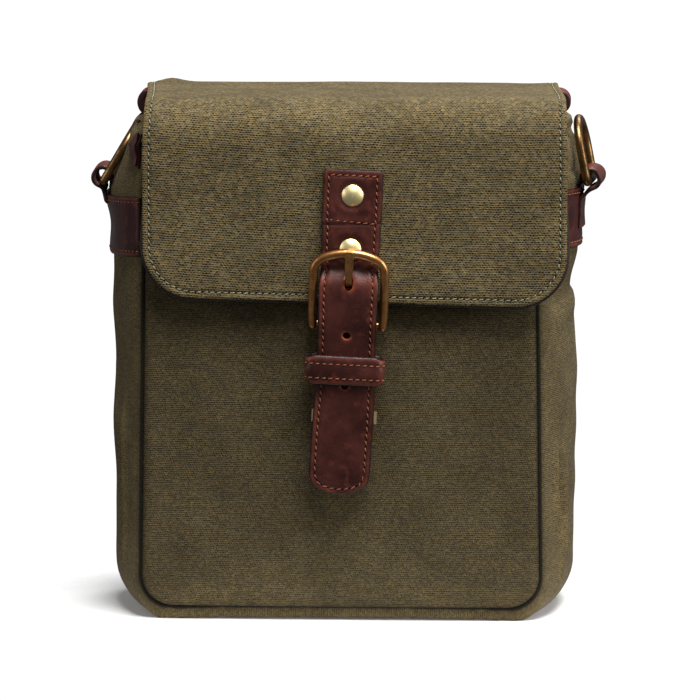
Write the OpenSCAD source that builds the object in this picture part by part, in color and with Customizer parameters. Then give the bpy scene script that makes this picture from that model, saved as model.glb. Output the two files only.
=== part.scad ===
// Compact canvas satchel with a leather strap-and-buckle closure.
// Millimetres, +Z up, front towards -Y, origin at the centre of the underside.

/* [Body] */
// Depth between the front and back seams
body_d = 96; // [80:1:110]
// Height of the front panel's top edge
front_h = 250; // [242:1:252]
// Height of the back panel's top edge
back_h = 259; // [256:0.5:259]
// Width of the front panel at its top
front_w = 201.6; // [198:0.1:208]
// Width of the back panel at its top
back_w = 220; // [212:1:222]
// How much wider the panels are at the bottom
flare = 8; // [4:1:10]
// Radius of the panels' bottom corners
corner_r = 26; // [24:1:34]
// How far the front panel swells at its middle
crown = 3.5; // [2:0.1:3.6]
// Thickness of the canvas
canvas_t = 1.5; // [1:0.1:1.5]

/* [Flap] */
// Width of the flap
flap_w = 221.2; // [210:0.1:226]
// How far the hanging flap sits right of centre
flap_shift = 6.8; // [0:0.1:8]
// Height of the top of the flap
flap_top_z = 277; // [275:0.1:280]
// Height of the hanging edge on the left and right
flap_edge_z = [173, 169.3];
// Radius of the hanging corners
flap_corner_r = 27; // [15:1:30]
// Radius where the flap turns down at the front
shoulder_r = 20; // [14:1:22]

/* [Strap and buckle] */
// Width of the strap
strap_w = 31.2; // [28:0.1:31.4]
// Thickness of the strap
strap_t = 3.2; // [2.4:0.1:3.4]
// Height of the strap's sewn top end
strap_top_z = 242.5; // [240:0.5:244]
// Height of the strap's tip
strap_tip_z = 71.4; // [52:0.1:82]
// How far the strap leans from upright, in degrees
strap_slant = 2.3; // [0:0.1:3]
// Distance between the strap's holes
hole_pitch = 27.5; // [25:0.5:28]
// Diameter of the strap's holes
hole_d = 4.2; // [3.8:0.1:5]
// Radius of the buckle's wire
buckle_wire_r = 2.3; // [2:0.1:2.4]

/* [Rings] */
// Radius of the D-rings' wire
ring_wire_r = 2.3; // [1.8:0.1:2.4]
// Half the width of a D-ring, to the middle of the wire
ring_half_w = 16; // [15:0.5:18]
// Height of a D-ring, from the middle of its bar to the middle of its top
ring_h = 33; // [28:1:36]
// How far each ring leans over the bag: left, right
ring_lean = [30.5, 11];

/* [Hidden] */
$fn = 40;
olive = [0.33, 0.29, 0.17];
leather = [0.22, 0.09, 0.07];
dark_leather = [0.13, 0.08, 0.08];
brass = [0.52, 0.37, 0.17];
pale_brass = [0.85, 0.74, 0.45];
foam_grey = [0.35, 0.35, 0.36];
tan = [0.55, 0.42, 0.26];

seam_y = body_d / 2;
seam_z = 7;
base_cut = 1;
side_steps = 12;
corner_steps = 7;
bottom_steps = 6;
across_steps = 14;
// Swell of the sides beyond the straight line from seam to seam, against height
side_swell = [[0, 6.6], [32, 9.6], [82, 13.6], [192, 16.1], [207, 16.4], [225, 15.1], [245, 7.6], [259, 2]];

hinge_y = 50.5;
hinge_z = 260;
crown_r = 12;
flap_canvas_t = 1.8;
flap_lining_t = 1.4;
flap_front_y = -61.8;
shoulder_y = flap_front_y + shoulder_r;
flap_gap = 0.3;
back_shift = 1;

strap_x = 6.6;
strap_rear_y = -62;
swing_z = 212.8;
bar_y = -62.6;
bar_z = 160;
bar_r = 2.2;
prong_hole_z = 183;
hole_stretch = 2.6;
snap_z = [227.8, 199.6];
lock_rear_y = -53.25;
lock_front_y = -56.7;
case_rear_y = -57;
case_front_y = -60.6;

band_z = [193, 224.5];
ring_x = 127.6;
ring_z = 229.4;
tab_half_y = 13;

// ---------- outlines ----------

// Points on an arc about c from angle a0 to a1
function arc(c, r, a0, a1, n) =
    [for (i = [0:n]) let (a = a0 + (a1 - a0) * i / n) [c[0] + r * cos(a), c[1] + r * sin(a)]];

// Half width of a panel at height z: straight sides that widen downwards, round bottom corners
function straight_half(w, h, z) = w / 2 + flare / 2 * (h - z) / (h - seam_z);
function low_half(w, h) = straight_half(w, h, seam_z + corner_r);
function panel_half(w, h, z) =
    z < seam_z + corner_r
        ? low_half(w, h) - corner_r + sqrt(max(0, corner_r * corner_r - pow(seam_z + corner_r - z, 2)))
        : straight_half(w, h, z);

// Seam line of a panel as [x, z, normal x, normal z], from top left round the bottom to top right
function seam(w, h) = let (lh = low_half(w, h), cx = lh - corner_r, cz = seam_z + corner_r)
    concat(
        [for (i = [0:side_steps - 1]) let (z = h + (cz - h) * i / side_steps)
            [-straight_half(w, h, z), z, -1, 0]],
        [for (i = [0:corner_steps]) let (a = 180 + 90 * i / corner_steps)
            [-cx + corner_r * cos(a), cz + corner_r * sin(a), cos(a), sin(a)]],
        [for (i = [1:bottom_steps - 1]) [-cx + 2 * cx * i / bottom_steps, seam_z, 0, -1]],
        [for (i = [0:corner_steps]) let (a = 270 + 90 * i / corner_steps)
            [cx + corner_r * cos(a), cz + corner_r * sin(a), cos(a), sin(a)]],
        [for (i = [side_steps - 1:-1:0]) let (z = h + (cz - h) * i / side_steps)
            [straight_half(w, h, z), z, 1, 0]]);

// How the swell of the gusset grows from either seam: round at the sides, flat underneath
function side_rise(t) = pow(sin(180 * t), 0.7);
function base_rise(t) = min(1, 2.5 * sin(180 * t));

// Point on the gusset, off outside its outer face, for a seam point pair and a share t of the depth
function gusset_point(f, b, t, off) =
    let (x = f[0] + (b[0] - f[0]) * t, z = f[1] + (b[1] - f[1]) * t,
         nx = f[2], nz = f[3],
         out = nx * nx * lookup(z, side_swell) * side_rise(t)
             + nz * nz * (seam_z + base_cut) * base_rise(t) + off)
    [x + nx * out, seam_y * (2 * t - 1), z + nz * out];

// x of the bag's side at height z and share t of the depth
function side_x(z, t) =
    panel_half(front_w, front_h, z) * (1 - t) + panel_half(back_w, back_h, z) * t
    + lookup(z, side_swell) * side_rise(t);

// Front face of the swelled front panel at height z and share u of its half width
function front_y(z, u) =
    let (v = 2 * (z - seam_z) / (front_h - seam_z) - 1)
    -seam_y - canvas_t - crown * (1 - u * u) * (1 - pow(abs(v), 3));

// ---------- building blocks ----------

// Closed solid between two grids of points with equal rows and columns
module slab(outer, inner) {
    n = len(outer);
    m = len(outer[0]);
    k = n * m;
    pts = concat([for (r = outer) each r], [for (r = inner) each r]);
    skin = [for (i = [0:n - 2], j = [0:m - 2]) let (a = i * m + j)
        each [[a, a + m + 1, a + 1], [a, a + m, a + m + 1]]];
    back = [for (f = skin) [f[2] + k, f[1] + k, f[0] + k]];
    side_a = [for (j = [0:m - 2]) each [[j + 1, j + k, j], [j + 1, j + 1 + k, j + k]]];
    last = (n - 1) * m;
    side_b = [for (j = [0:m - 2]) let (a = last + j)
        each [[a, a + 1 + k, a + 1], [a, a + k, a + 1 + k]]];
    side_c = [for (i = [0:n - 2]) let (a = i * m)
        each [[a, a + m + k, a + m], [a, a + k, a + m + k]]];
    side_d = [for (i = [0:n - 2]) let (a = i * m + m - 1)
        each [[a + m, a + k, a], [a + m, a + m + k, a + k]]];
    polyhedron(pts, concat(skin, back, side_a, side_b, side_c, side_d));
}

// Extrudes an outline drawn in Y and Z along X, centred
module along_x(w) {
    translate([-w / 2, 0, 0]) rotate([90, 0, 90]) linear_extrude(w) children();
}

// Extrudes an outline drawn in X and Z along Y, from y0 to y1
module along_y(y0, y1) {
    translate([0, y1, 0]) rotate([90, 0, 0]) linear_extrude(y1 - y0) children();
}

// Block between two corners
module block(a, b) {
    translate(a) cube(b - a);
}

// Outline with square top and round bottom corners
module u_outline(w, z0, z1, r) {
    polygon(concat([[-w / 2, z1]], arc([-w / 2 + r, z0 + r], r, 180, 270, 8),
        arc([w / 2 - r, z0 + r], r, 270, 360, 8), [[w / 2, z1]]));
}

// Places the strap and all that hangs on it along its slanted middle line
module on_strap() {
    translate([strap_x, 0, strap_top_z]) rotate([0, strap_slant, 0])
        translate([0, 0, -strap_top_z]) children();
}

// Low dome with a post behind it, front face towards -Y
module dome_stud(y, z, r, h, post) {
    sphere_r = (r * r + h * h) / (2 * h);
    translate([0, y, z]) rotate([90, 0, 0]) {
        intersection() {
            translate([0, 0, h - sphere_r]) sphere(sphere_r, $fn = 64);
            cylinder(r = r, h = h + 1);
        }
        translate([0, 0, -post]) cylinder(r = r * 0.35, h = post);
    }
}

// ---------- bag body ----------

module panel_slab(w, h, y_of, t) {
    rows = [seam_z, seam_z + 2, seam_z + 5, seam_z + 9, seam_z + 14, seam_z + 20,
        for (i = [0:12]) seam_z + corner_r + (h - seam_z - corner_r) * i / 12];
    slab([for (z = rows) [for (j = [0:12]) let (u = j / 6 - 1)
            [u * panel_half(w, h, z), y_of[0] * y_of[1] + (y_of[2] ? front_y(z, u) : 0), z]]],
        [for (z = rows) [for (j = [0:12]) let (u = j / 6 - 1)
            [u * panel_half(w, h, z), y_of[0] * y_of[1] + (y_of[2] ? front_y(z, u) : 0) + t, z]]]);
}

module front_panel() {
    color(olive) panel_slab(front_w, front_h, [0, 0, true], canvas_t);
}

module back_panel() {
    color(olive) panel_slab(back_w, back_h, [1, seam_y, false], canvas_t);
}

// The strip between the panels, from one seam point to another
module gusset(first, last) {
    f = seam(front_w, front_h);
    b = seam(back_w, back_h);
    color(olive) intersection() {
        slab([for (i = [first:last]) [for (j = [0:across_steps])
                gusset_point(f[i], b[i], j / across_steps, 0)]],
            [for (i = [first:last]) [for (j = [0:across_steps])
                gusset_point(f[i], b[i], j / across_steps, -canvas_t - base_cut * abs(f[i][3]))]]);
        block([-200, -100, 0], [200, 100, 300]);
    }
}

module gusset_left() {
    gusset(0, side_steps + corner_steps);
}

module gusset_base() {
    gusset(side_steps + corner_steps, side_steps + corner_steps + bottom_steps);
}

module gusset_right() {
    gusset(side_steps + corner_steps + bottom_steps, 2 * (side_steps + corner_steps) + bottom_steps);
}

lining_half = 98.4;
lining_y = 43;
lining_z = [9.7, 248];
lining_t = 1.2;

module lining() {
    color(tan) difference() {
        along_y(-lining_y, lining_y) u_outline(2 * lining_half, lining_z[0], lining_z[1], 24);
        along_y(-lining_y + lining_t, lining_y - lining_t)
            u_outline(2 * (lining_half - lining_t), lining_z[0] + lining_t, lining_z[1] + 1, 23);
    }
}

module foam_front() {
    color(foam_grey) along_y(-seam_y + 0.6, -lining_y - 0.1) u_outline(196, 12, 244, 24);
}

module foam_back() {
    color(foam_grey) along_y(lining_y + 0.1, seam_y - 0.6) u_outline(200, 12, 252, 24);
}

module foam_side(side) {
    foam = [[lining_half + 0.2, -38, 38], [lining_half + 4.2, 38, 238]];
    color(foam_grey) scale_side(side) block(foam[0], foam[1]);
}

module scale_side(side) {
    if (side > 0) children();
    else mirror([1, 0, 0]) children();
}

module foam_base() {
    color(foam_grey) block([-74, -33, 6.2], [74, 33, 9.5]);
}

module base_board() {
    color([0.2, 0.2, 0.2]) block([-78, -33, 3.2], [78, 33, 6]);
}

module side_band(side) {
    lift = 0.25;
    leather_t = 1.9;
    rows = [for (i = [0:5]) band_z[0] + (band_z[1] - band_z[0]) * i / 5];
    color(leather) slab(
        [for (i = [0:5]) [for (j = [0:16]) let (t = 0.012 + 0.976 * (side > 0 ? j : 16 - j) / 16)
            [side * (side_x(rows[i], t) + lift + leather_t), seam_y * (2 * t - 1), rows[i]]]],
        [for (i = [0:5]) [for (j = [0:16]) let (t = 0.012 + 0.976 * (side > 0 ? j : 16 - j) / 16)
            [side * (side_x(rows[i], t) + lift), seam_y * (2 * t - 1), rows[i]]]]);
}

tab_t = 1.8;
loop_r = 4.3;
loop_x = ring_x + 1.1;
loop_z = ring_z + 1.2;

module ring_tab(side) {
    plate_x = side_x(207, 0.5) + 2.5;
    color(leather) scale_side(side) difference() {
        union() {
            translate([loop_x, 0, loop_z]) rotate([90, 0, 0])
                cylinder(r = loop_r + tab_t, h = 2 * tab_half_y, center = true);
            block([plate_x, -tab_half_y, 198], [plate_x + tab_t, tab_half_y, loop_z - 1]);
        }
        translate([loop_x, 0, loop_z]) rotate([90, 0, 0])
            cylinder(r = loop_r, h = 2 * tab_half_y + 1, center = true);
        block([loop_x - 12, -20, loop_z - 1], [loop_x - loop_r - tab_t + 2.4, 20, loop_z + 1.5]);
    }
}

module corner_tab(side) {
    r = 6;
    color(leather) scale_side(side) intersection() {
        translate([back_w / 2 - 0.8, 0, 265]) rotate([90, 0, 0]) difference() {
            translate([0, 0, -42]) cylinder(r = r, h = 20);
            translate([0, 0, -43]) cylinder(r = r - 1.8, h = 22);
        }
        block([back_w / 2 - 4, 20, 259.4], [back_w / 2 + 10, 50, 273]);
    }
}

module flap_anchor() {
    color(olive) along_y(seam_y + canvas_t + 0.1, seam_y + canvas_t + 1.5)
        polygon([[-108, 238], [108, 238], [109, 259.6], [-109, 259.6]]);
}

// ---------- rings ----------

module d_ring(side, lean) {
    leg = ring_h - ring_half_w;
    color(brass) translate([side * ring_x, 0, ring_z]) rotate([0, -side * lean, 0]) {
        for (s = [-1, 1]) {
            translate([0, s * ring_half_w, 0]) {
                sphere(ring_wire_r);
                cylinder(r = ring_wire_r, h = leg);
            }
        }
        rotate([90, 0, 0]) cylinder(r = ring_wire_r, h = 2 * ring_half_w, center = true);
        translate([0, 0, leg]) rotate([90, 0, 90]) rotate_extrude(angle = 180)
            translate([ring_half_w, 0]) circle(ring_wire_r);
    }
}

// ---------- flap ----------

// Back end, round back edge and flat top of the flap, d under its outer face, in Y and Z
function crown_path(d) = concat([[hinge_y - d, hinge_z + flap_gap]],
    arc([hinge_y - crown_r, flap_top_z - crown_r], crown_r - d, 0, 90, 8),
    [[shoulder_y + flap_gap, flap_top_z - d]]);

// Shoulder and hanging front of the flap, d under its outer face
function drop_path(d) = concat(arc([shoulder_y, flap_top_z - shoulder_r], shoulder_r - d, 90, 180, 10),
    [[flap_front_y + d, 150]]);

function band(a, b) = concat(a, [for (i = [len(b) - 1:-1:0]) b[i]]);

module flap_plan(inset) {
    w = flap_w / 2 - inset;
    linear_extrude(300) polygon([[back_shift - w, hinge_y + 5], [flap_shift - w, shoulder_y],
        [flap_shift + w, shoulder_y], [back_shift + w, hinge_y + 5]]);
}

module drop_front(inset) {
    x0 = flap_shift - flap_w / 2 + inset;
    x1 = flap_shift + flap_w / 2 - inset;
    r = flap_corner_r - inset;
    along_y(-100, 0) polygon(concat([[x0, 290]],
        arc([x0 + r, flap_edge_z[0] + inset + r], r, 180, 270, 10),
        arc([x1 - r, flap_edge_z[1] + inset + r], r, 270, 360, 10), [[x1, 290]]));
}

module flap_crown() {
    color(olive) intersection() {
        along_x(300) polygon(band(crown_path(0), crown_path(flap_canvas_t)));
        flap_plan(0);
    }
}

module flap_crown_lining() {
    color(dark_leather) intersection() {
        along_x(300) polygon(band(crown_path(flap_canvas_t), crown_path(flap_canvas_t + flap_lining_t)));
        flap_plan(0.8);
    }
}

module flap_drop() {
    color(olive) intersection() {
        along_x(300) polygon(band(drop_path(0), drop_path(flap_canvas_t)));
        drop_front(0);
    }
}

module flap_drop_lining() {
    color(dark_leather) intersection() {
        along_x(300) polygon(band(drop_path(flap_canvas_t), drop_path(flap_canvas_t + flap_lining_t)));
        drop_front(0.8);
    }
}

// ---------- strap ----------

module strap_upper() {
    color(leather) on_strap() along_y(strap_rear_y - strap_t, strap_rear_y) difference() {
        translate([-strap_w / 2, swing_z + 0.2]) square([strap_w, strap_top_z - swing_z - 0.2]);
        translate([0, snap_z[0]]) circle(r = 2);
    }
}

module strap_rivet() {
    color(pale_brass) on_strap() dome_stud(strap_rear_y - strap_t, snap_z[0], 5.6, 1.9, 3);
}

// Rear face of the hanging strap: flat on the flap, out over the prong, then down to the tip
strap_line = [[swing_z - 0.2, -62.1], [191.5, -62.1], [188, -63], [184, -65.6], [180.5, -67.3],
    [176, -67.6], [164, -67.6], [160, -67.1], [152, -64.8], [144, -63.4], [112, -63.4], [87, -62.4],
    [62, -60.4]];

module strap_lower() {
    path = [for (p = strap_line) [p[1], p[0]]];
    front = [for (p = path) [p[0] - strap_t, p[1]]];
    tip_r = 27;
    color(leather) on_strap() difference() {
        intersection() {
            along_x(strap_w) polygon(band(path, front));
            along_y(-90, -40) intersection() {
                translate([0, strap_tip_z + tip_r]) union() {
                    circle(tip_r, $fn = 90);
                    translate([-30, 0]) square([60, 200]);
                }
                translate([-strap_w / 2, 62]) square([strap_w, 160]);
            }
        }
        for (z = [0, -hole_stretch, -hole_pitch, -2 * hole_pitch])
            translate([0, -40, prong_hole_z + z]) rotate([90, 0, 0]) cylinder(d = hole_d, h = 50);
        block([-hole_d / 2, -90, prong_hole_z - hole_stretch], [hole_d / 2, -40, prong_hole_z]);
        translate([0, -40, snap_z[1]]) rotate([90, 0, 0]) cylinder(r = 2, h = 50);
    }
}

module strap_snap() {
    color(pale_brass) on_strap() dome_stud(-62.1 - strap_t, snap_z[1], 5.6, 1.9, 2.9);
}

module chape() {
    front = -62.9;
    rear = -59.4;
    color(leather) on_strap() difference() {
        union() {
            translate([0, bar_y, bar_z]) rotate([0, 90, 0]) cylinder(r = 3.9, h = 30, center = true);
            block([-15, front, 122.2], [15, rear, bar_z]);
            block([-15, front, 101], [15, case_front_y - 0.1, 123]);
        }
        translate([0, bar_y, bar_z]) rotate([0, 90, 0]) cylinder(r = bar_r + 0.08, h = 40, center = true);
        block([-2.4, -70, bar_z - 5], [2.4, -50, bar_z + 5]);
        for (s = [-1, 1]) translate([s * 9, -50, 117.5]) rotate([90, 0, 0]) cylinder(r = 1.2, h = 20);
    }
}

module chape_rivets() {
    color(brass) on_strap() for (s = [-1, 1]) translate([s * 9, case_front_y - 2.35, 117.5])
        rotate([-90, 0, 0]) cylinder(r = 1.15, h = 2.3);
}

module keeper() {
    hx = 20.8;
    y0 = -69.4;
    y1 = -57.2;
    t = 1.7;
    r = 4;
    color(leather) on_strap() translate([0, 0, 128.5]) linear_extrude(15) difference() {
        keeper_outline(hx, y0, y1, r);
        keeper_outline(hx - t, y0 + t, y1 - t, r - t);
    }
}

module keeper_outline(hx, y0, y1, r) {
    polygon(concat(arc([hx - r, y1 - r], r, 0, 90, 6), arc([-hx + r, y1 - r], r, 90, 180, 6),
        arc([-hx + r, y0 + r], r, 180, 270, 6), arc([hx - r, y0 + r], r, 270, 360, 6)));
}

// ---------- clasp ----------

case_half = 15.7;
case_z = [99.7, 121.8];
tab_z = [107.5, 113.9];
tongue_z = [106, 111];

module lock_plate() {
    color(brass) on_strap() difference() {
        block([-15, lock_front_y, 99.9], [15, lock_rear_y, 121.5]);
        block([-11.2, lock_front_y - 1, tongue_z[0] - 0.9], [11.2, lock_rear_y - 0.7, tongue_z[1] + 3.5]);
    }
}

module lock_backplate() {
    color(brass) on_strap() block([-14, -50.4, 101], [14, -49.4, 120]);
}

module clasp_case() {
    color(brass) on_strap() difference() {
        block([-case_half, case_front_y, case_z[0]], [case_half, case_rear_y, case_z[1]]);
        for (s = [-1, 1]) scale_side(s)
            block([9, case_front_y + 0.7, tab_z[0] - 0.2], [case_half + 1, case_rear_y - 0.7, tab_z[1] + 0.2]);
    }
}

module clasp_tongue() {
    color(brass) on_strap() block([-10, case_rear_y + 0.05, tongue_z[0]], [10, -54.6, tongue_z[1]]);
}

module squeeze_tab(side) {
    color(pale_brass) on_strap() scale_side(side)
        block([11.2, case_front_y + 0.8, tab_z[0]], [17, case_rear_y - 0.8, tab_z[1]]);
}

// ---------- buckle ----------

leg_x = 18.6;
top_y = -70;
top_z = 198.1;
arch_r = 34;
bend_r = 9;

// The frame lies in a plane that leans out from the bar to the top
module buckle_frame() {
    lean = atan2(bar_y - top_y, top_z - bar_z);
    reach = norm([top_y - bar_y, top_z - bar_z]);
    // The arch meets each bend where both circles share a tangent
    drop = arch_r - sqrt(pow(arch_r - bend_r, 2) - pow(leg_x - bend_r, 2));
    turn = asin((leg_x - bend_r) / (arch_r - bend_r));
    lap = 3;
    color(brass) on_strap() translate([0, bar_y, bar_z]) rotate([lean, 0, 0]) {
        rotate([0, 90, 0]) cylinder(r = bar_r, h = 2 * leg_x, center = true);
        for (s = [-1, 1]) {
            translate([s * leg_x, 0, 0]) {
                sphere(buckle_wire_r);
                cylinder(r = buckle_wire_r, h = reach - drop);
            }
            translate([s * (leg_x - bend_r), 0, reach - drop]) rotate([90, 0, 0])
                rotate([0, 0, s > 0 ? -lap : 90 + turn])
                rotate_extrude(angle = 90 - turn + lap) translate([bend_r, 0]) circle(buckle_wire_r + 0.1);
        }
        translate([0, 0, reach - arch_r]) rotate([90, 0, 0]) rotate([0, 0, 90 - turn - lap])
            rotate_extrude(angle = 2 * (turn + lap)) translate([arch_r, 0]) circle(buckle_wire_r + 0.2);
    }
}

prong_r = 1.55;
prong_line = [[-63, 162.5], [-64.2, 170], [-64.3, 180.3], [-72.5, 183.9], [-75.2, 199.6]];

// Outline of a ribbon r either side of a line of points
function ribbon(p, r) =
    let (n = len(p), d = [for (i = [0:n - 2]) (p[i + 1] - p[i]) / norm(p[i + 1] - p[i])],
         m = [for (i = [0:n - 1]) let (s = d[max(0, i - 1)] + d[min(n - 2, i)])
             [-s[1], s[0]] * 2 / (s * s)])
    concat([for (i = [0:n - 1]) p[i] + r * m[i]], [for (i = [n - 1:-1:0]) p[i] - r * m[i]]);

module buckle_prong() {
    color(brass) on_strap() difference() {
        union() {
            translate([0, bar_y, bar_z]) rotate([0, 90, 0]) cylinder(r = 3.7, h = 3.6, center = true);
            intersection() {
                along_x(6) polygon(ribbon(prong_line, prong_r));
                along_y(-90, -50) polygon([[-1.5, 157], [1.5, 157], [1.5, 186], [2.1, 191], [2.1, 198],
                    [1.2, 201], [-1.2, 201], [-2.1, 198], [-2.1, 191], [-1.5, 186]]);
            }
        }
        translate([0, bar_y, bar_z]) rotate([0, 90, 0])
            cylinder(r = bar_r + 0.08, h = 10, center = true);
    }
}

front_panel();
back_panel();
gusset_left();
gusset_base();
gusset_right();
lining();
foam_front();
foam_back();
foam_side(-1);  // foam_side_left
foam_side(1);  // foam_side_right
foam_base();
base_board();
side_band(-1);  // side_band_left
side_band(1);  // side_band_right
ring_tab(-1);  // ring_tab_left
ring_tab(1);  // ring_tab_right
corner_tab(-1);  // corner_tab_left
corner_tab(1);  // corner_tab_right
flap_anchor();
lock_plate();
lock_backplate();
d_ring(-1, ring_lean[0]);  // dring_left
d_ring(1, ring_lean[1]);  // dring_right
flap_crown();
flap_crown_lining();
flap_drop();
flap_drop_lining();
strap_upper();
strap_rivet();
strap_lower();
strap_snap();
chape();
chape_rivets();
keeper();
clasp_case();
clasp_tongue();
squeeze_tab(-1);  // squeeze_tab_left
squeeze_tab(1);  // squeeze_tab_right
buckle_frame();
buckle_prong();
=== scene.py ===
"""Looks for the canvas satchel: cloth, leather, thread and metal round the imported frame."""
import math

import bpy
import numpy as np
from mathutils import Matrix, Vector


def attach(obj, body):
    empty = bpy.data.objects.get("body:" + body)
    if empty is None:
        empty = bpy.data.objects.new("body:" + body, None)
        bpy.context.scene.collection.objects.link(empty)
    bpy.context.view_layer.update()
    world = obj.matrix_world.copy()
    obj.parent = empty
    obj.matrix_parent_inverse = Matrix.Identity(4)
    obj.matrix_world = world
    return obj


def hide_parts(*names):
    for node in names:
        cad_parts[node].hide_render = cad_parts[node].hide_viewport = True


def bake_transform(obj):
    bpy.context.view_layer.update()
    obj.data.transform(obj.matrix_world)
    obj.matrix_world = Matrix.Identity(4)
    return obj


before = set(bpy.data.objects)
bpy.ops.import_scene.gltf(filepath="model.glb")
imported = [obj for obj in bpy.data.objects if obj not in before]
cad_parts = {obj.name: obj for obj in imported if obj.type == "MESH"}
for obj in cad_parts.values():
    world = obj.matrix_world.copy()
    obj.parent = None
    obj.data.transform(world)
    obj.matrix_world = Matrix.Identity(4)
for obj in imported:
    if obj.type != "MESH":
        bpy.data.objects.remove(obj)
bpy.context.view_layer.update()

MM = 0.001

# ---------- dimensions, in millimetres ----------

SEAM_Y, SEAM_Z = 48.0, 7.0
FRONT_H, BACK_H = 250.0, 259.0
FRONT_W, BACK_W, FRONT_DX = 203.2, 220.0, -1.2
FLARE, CORNER_R, CROWN, CANVAS_T = 8.0, 17.0, 3.5, 1.5
FLAP_HALF, FLAP_SHIFT, BACK_SHIFT = 110.6, 6.8, 1.0
FLAP_TOP_Z, FLAP_FRONT_Y, SHOULDER_R, BACK_R = 277.0, -61.8, 20.0, 12.0
HINGE_Y, HINGE_Z = 50.5, 260.0
FLAP_EDGE_Z, FLAP_CORNER_R = (173.0, 169.3), 27.0
FLAP_CLOTH_T, FLAP_LINING_T = 1.8, 1.4
STRAP_HALF, STRAP_T, STRAP_X = 15.6, 3.2, 6.6
STRAP_TOP_Z, STRAP_SLANT = 242.5, math.radians(2.3)
SWING_Z, HOLE_R = 212.8, 2.1
HOLE_Z = (183.0, 180.4, 155.5, 128.0)
CAP_Z = (227.8, 199.6)
CAP_R = 5.6
BAND_Z = (193.0, 224.5)
LOOP_X, LOOP_Z, LOOP_R, TAB_T, TAB_HALF = 128.7, 230.6, 4.3, 1.8, 13.0
MOUTH_X, MOUTH_Y = 97.4, 42.4
RING_X, RING_Z = 127.6, 229.4
BAR_Y, BAR_Z, BUCKLE_TOP = -62.6, 160.0, (-70.0, 198.1)


# ---------- small maths ----------

def srgb(r, g, b):
    """A colour given in 0 to 255, as linear light."""
    return tuple((c / 255 / 12.92) if c < 10.3 else ((c / 255 + 0.055) / 1.055) ** 2.4
                 for c in (r, g, b)) + (1.0,)


def unit(v):
    return v / np.maximum(np.linalg.norm(v, axis=-1, keepdims=True), 1e-12)


def smooth(x, lo, hi):
    """0 below lo, 1 above hi, and an even curve between."""
    t = np.clip((np.asarray(x, float) - lo) / (hi - lo), 0, 1)
    return t * t * (3 - 2 * t)


def bell(x, at, width):
    return np.exp(-((np.asarray(x, float) - at) / width) ** 2)


def soft_table(z, table):
    """A table of (height, value) read with its corners rounded off over 6 mm each way."""
    xs, ys = zip(*table)
    steps = np.linspace(-6.0, 6.0, 7)
    return sum(np.interp(np.asarray(z, float) + d, xs, ys) for d in steps) / len(steps)


def waves(x, y, size, seed):
    """Smooth uneven waves between about -1 and 1, size millimetres long."""
    total = 0
    for k in range(4):
        a = seed * 1.7 + k * 2.4
        fx, fy = math.cos(a) * (1 + 0.4 * k), math.sin(a) * (1 + 0.4 * k)
        total = total + np.sin((x * fx + y * fy) * 2 * math.pi / size + seed * 3.1 + k * 1.3) / (1 + 0.5 * k)
    return total / 2.2


def spaced(length, edge_steps, step):
    """Distances along a length, close together at both ends and evenly spaced between."""
    inner = np.linspace(edge_steps[-1], length - edge_steps[-1],
                        max(2, int((length - 2 * edge_steps[-1]) / step) + 1))
    return np.concatenate([edge_steps[:-1], inner, length - np.array(edge_steps[-2::-1])])


def lengths(points):
    """Distance along a line of points, from its start."""
    return np.concatenate([[0], np.cumsum(np.linalg.norm(np.diff(points, axis=0), axis=1))])


def points_at(where, along, points):
    """The two coordinates of a line of points, read at other distances along it."""
    return np.stack([np.interp(where, along, points[:, a]) for a in range(2)], 1)


def every_mm(points):
    """Both coordinates of a line of points, about one for each millimetre."""
    points = np.array(points, float)
    along = lengths(points)
    return points_at(np.linspace(0, along[-1], int(along[-1]) + 2), along, points).T


def relaxed(line, passes):
    """Rounds the bends of a line in place, leaving its ends."""
    for _ in range(passes):
        line[1:-1] = (line[:-2] + 2 * line[1:-1] + line[2:]) / 4
    return line


def flat_grid(a, b):
    """A grid of pairs: a changes from row to row, b from column to column."""
    return np.stack([a[:, None] + 0 * b[None], b[None] + 0 * a[:, None]], -1)


def weave_of(dom):
    """A flat grid as the three-valued field that the woven materials read."""
    return np.concatenate([dom, 0 * dom[..., :1]], -1)


def normals_of(p):
    """Unit normals of a grid of points."""
    return unit(np.cross(np.gradient(p, axis=0), np.gradient(p, axis=1)))


def edge_distance(dom, skip=()):
    """Distance of each point of a flat grid from its own border, leaving out the sides in skip."""
    borders = {"start": dom[0], "end": dom[-1], "left": dom[:, 0], "right": dom[:, -1]}
    best = np.full(dom.shape[:2], 1e9)
    for name, line in borders.items():
        if name in skip:
            continue
        for a, b in zip(line[:-1], line[1:]):
            d = b - a
            length2 = float(d @ d)
            if length2 < 1e-12:
                continue
            t = np.clip(((dom - a) @ d) / length2, 0, 1)
            best = np.minimum(best, np.linalg.norm(dom - (a + t[..., None] * d), axis=-1))
    return best


def edge_drop(e, r):
    """How far a rounded edge of radius r has fallen away, at distance e from the border."""
    x = np.clip(r - e, 0, r)
    return r - np.sqrt(r * r - x * x)


# ---------- meshes ----------

def make_mesh(name, verts, faces, materials, fields=None, face_mats=None):
    """A smooth mesh from points in millimetres, with the named point fields."""
    mesh = bpy.data.meshes.new(name)
    mesh.from_pydata((np.asarray(verts) * MM).tolist(), [], faces)
    for m in materials:
        mesh.materials.append(m)
    if face_mats is not None:
        mesh.polygons.foreach_set("material_index", np.asarray(face_mats, np.int32))
    mesh.polygons.foreach_set("use_smooth", np.ones(len(mesh.polygons), bool))
    for key, values in (fields or {}).items():
        values = np.asarray(values, np.float32)
        kind, slot = ("FLOAT_VECTOR", "vector") if values.ndim == 2 else ("FLOAT", "value")
        mesh.attributes.new(key, kind, "POINT").data.foreach_set(slot, values.ravel())
    mesh.validate()
    obj = bpy.data.objects.new(name, mesh)
    bpy.context.scene.collection.objects.link(obj)
    return obj


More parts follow.
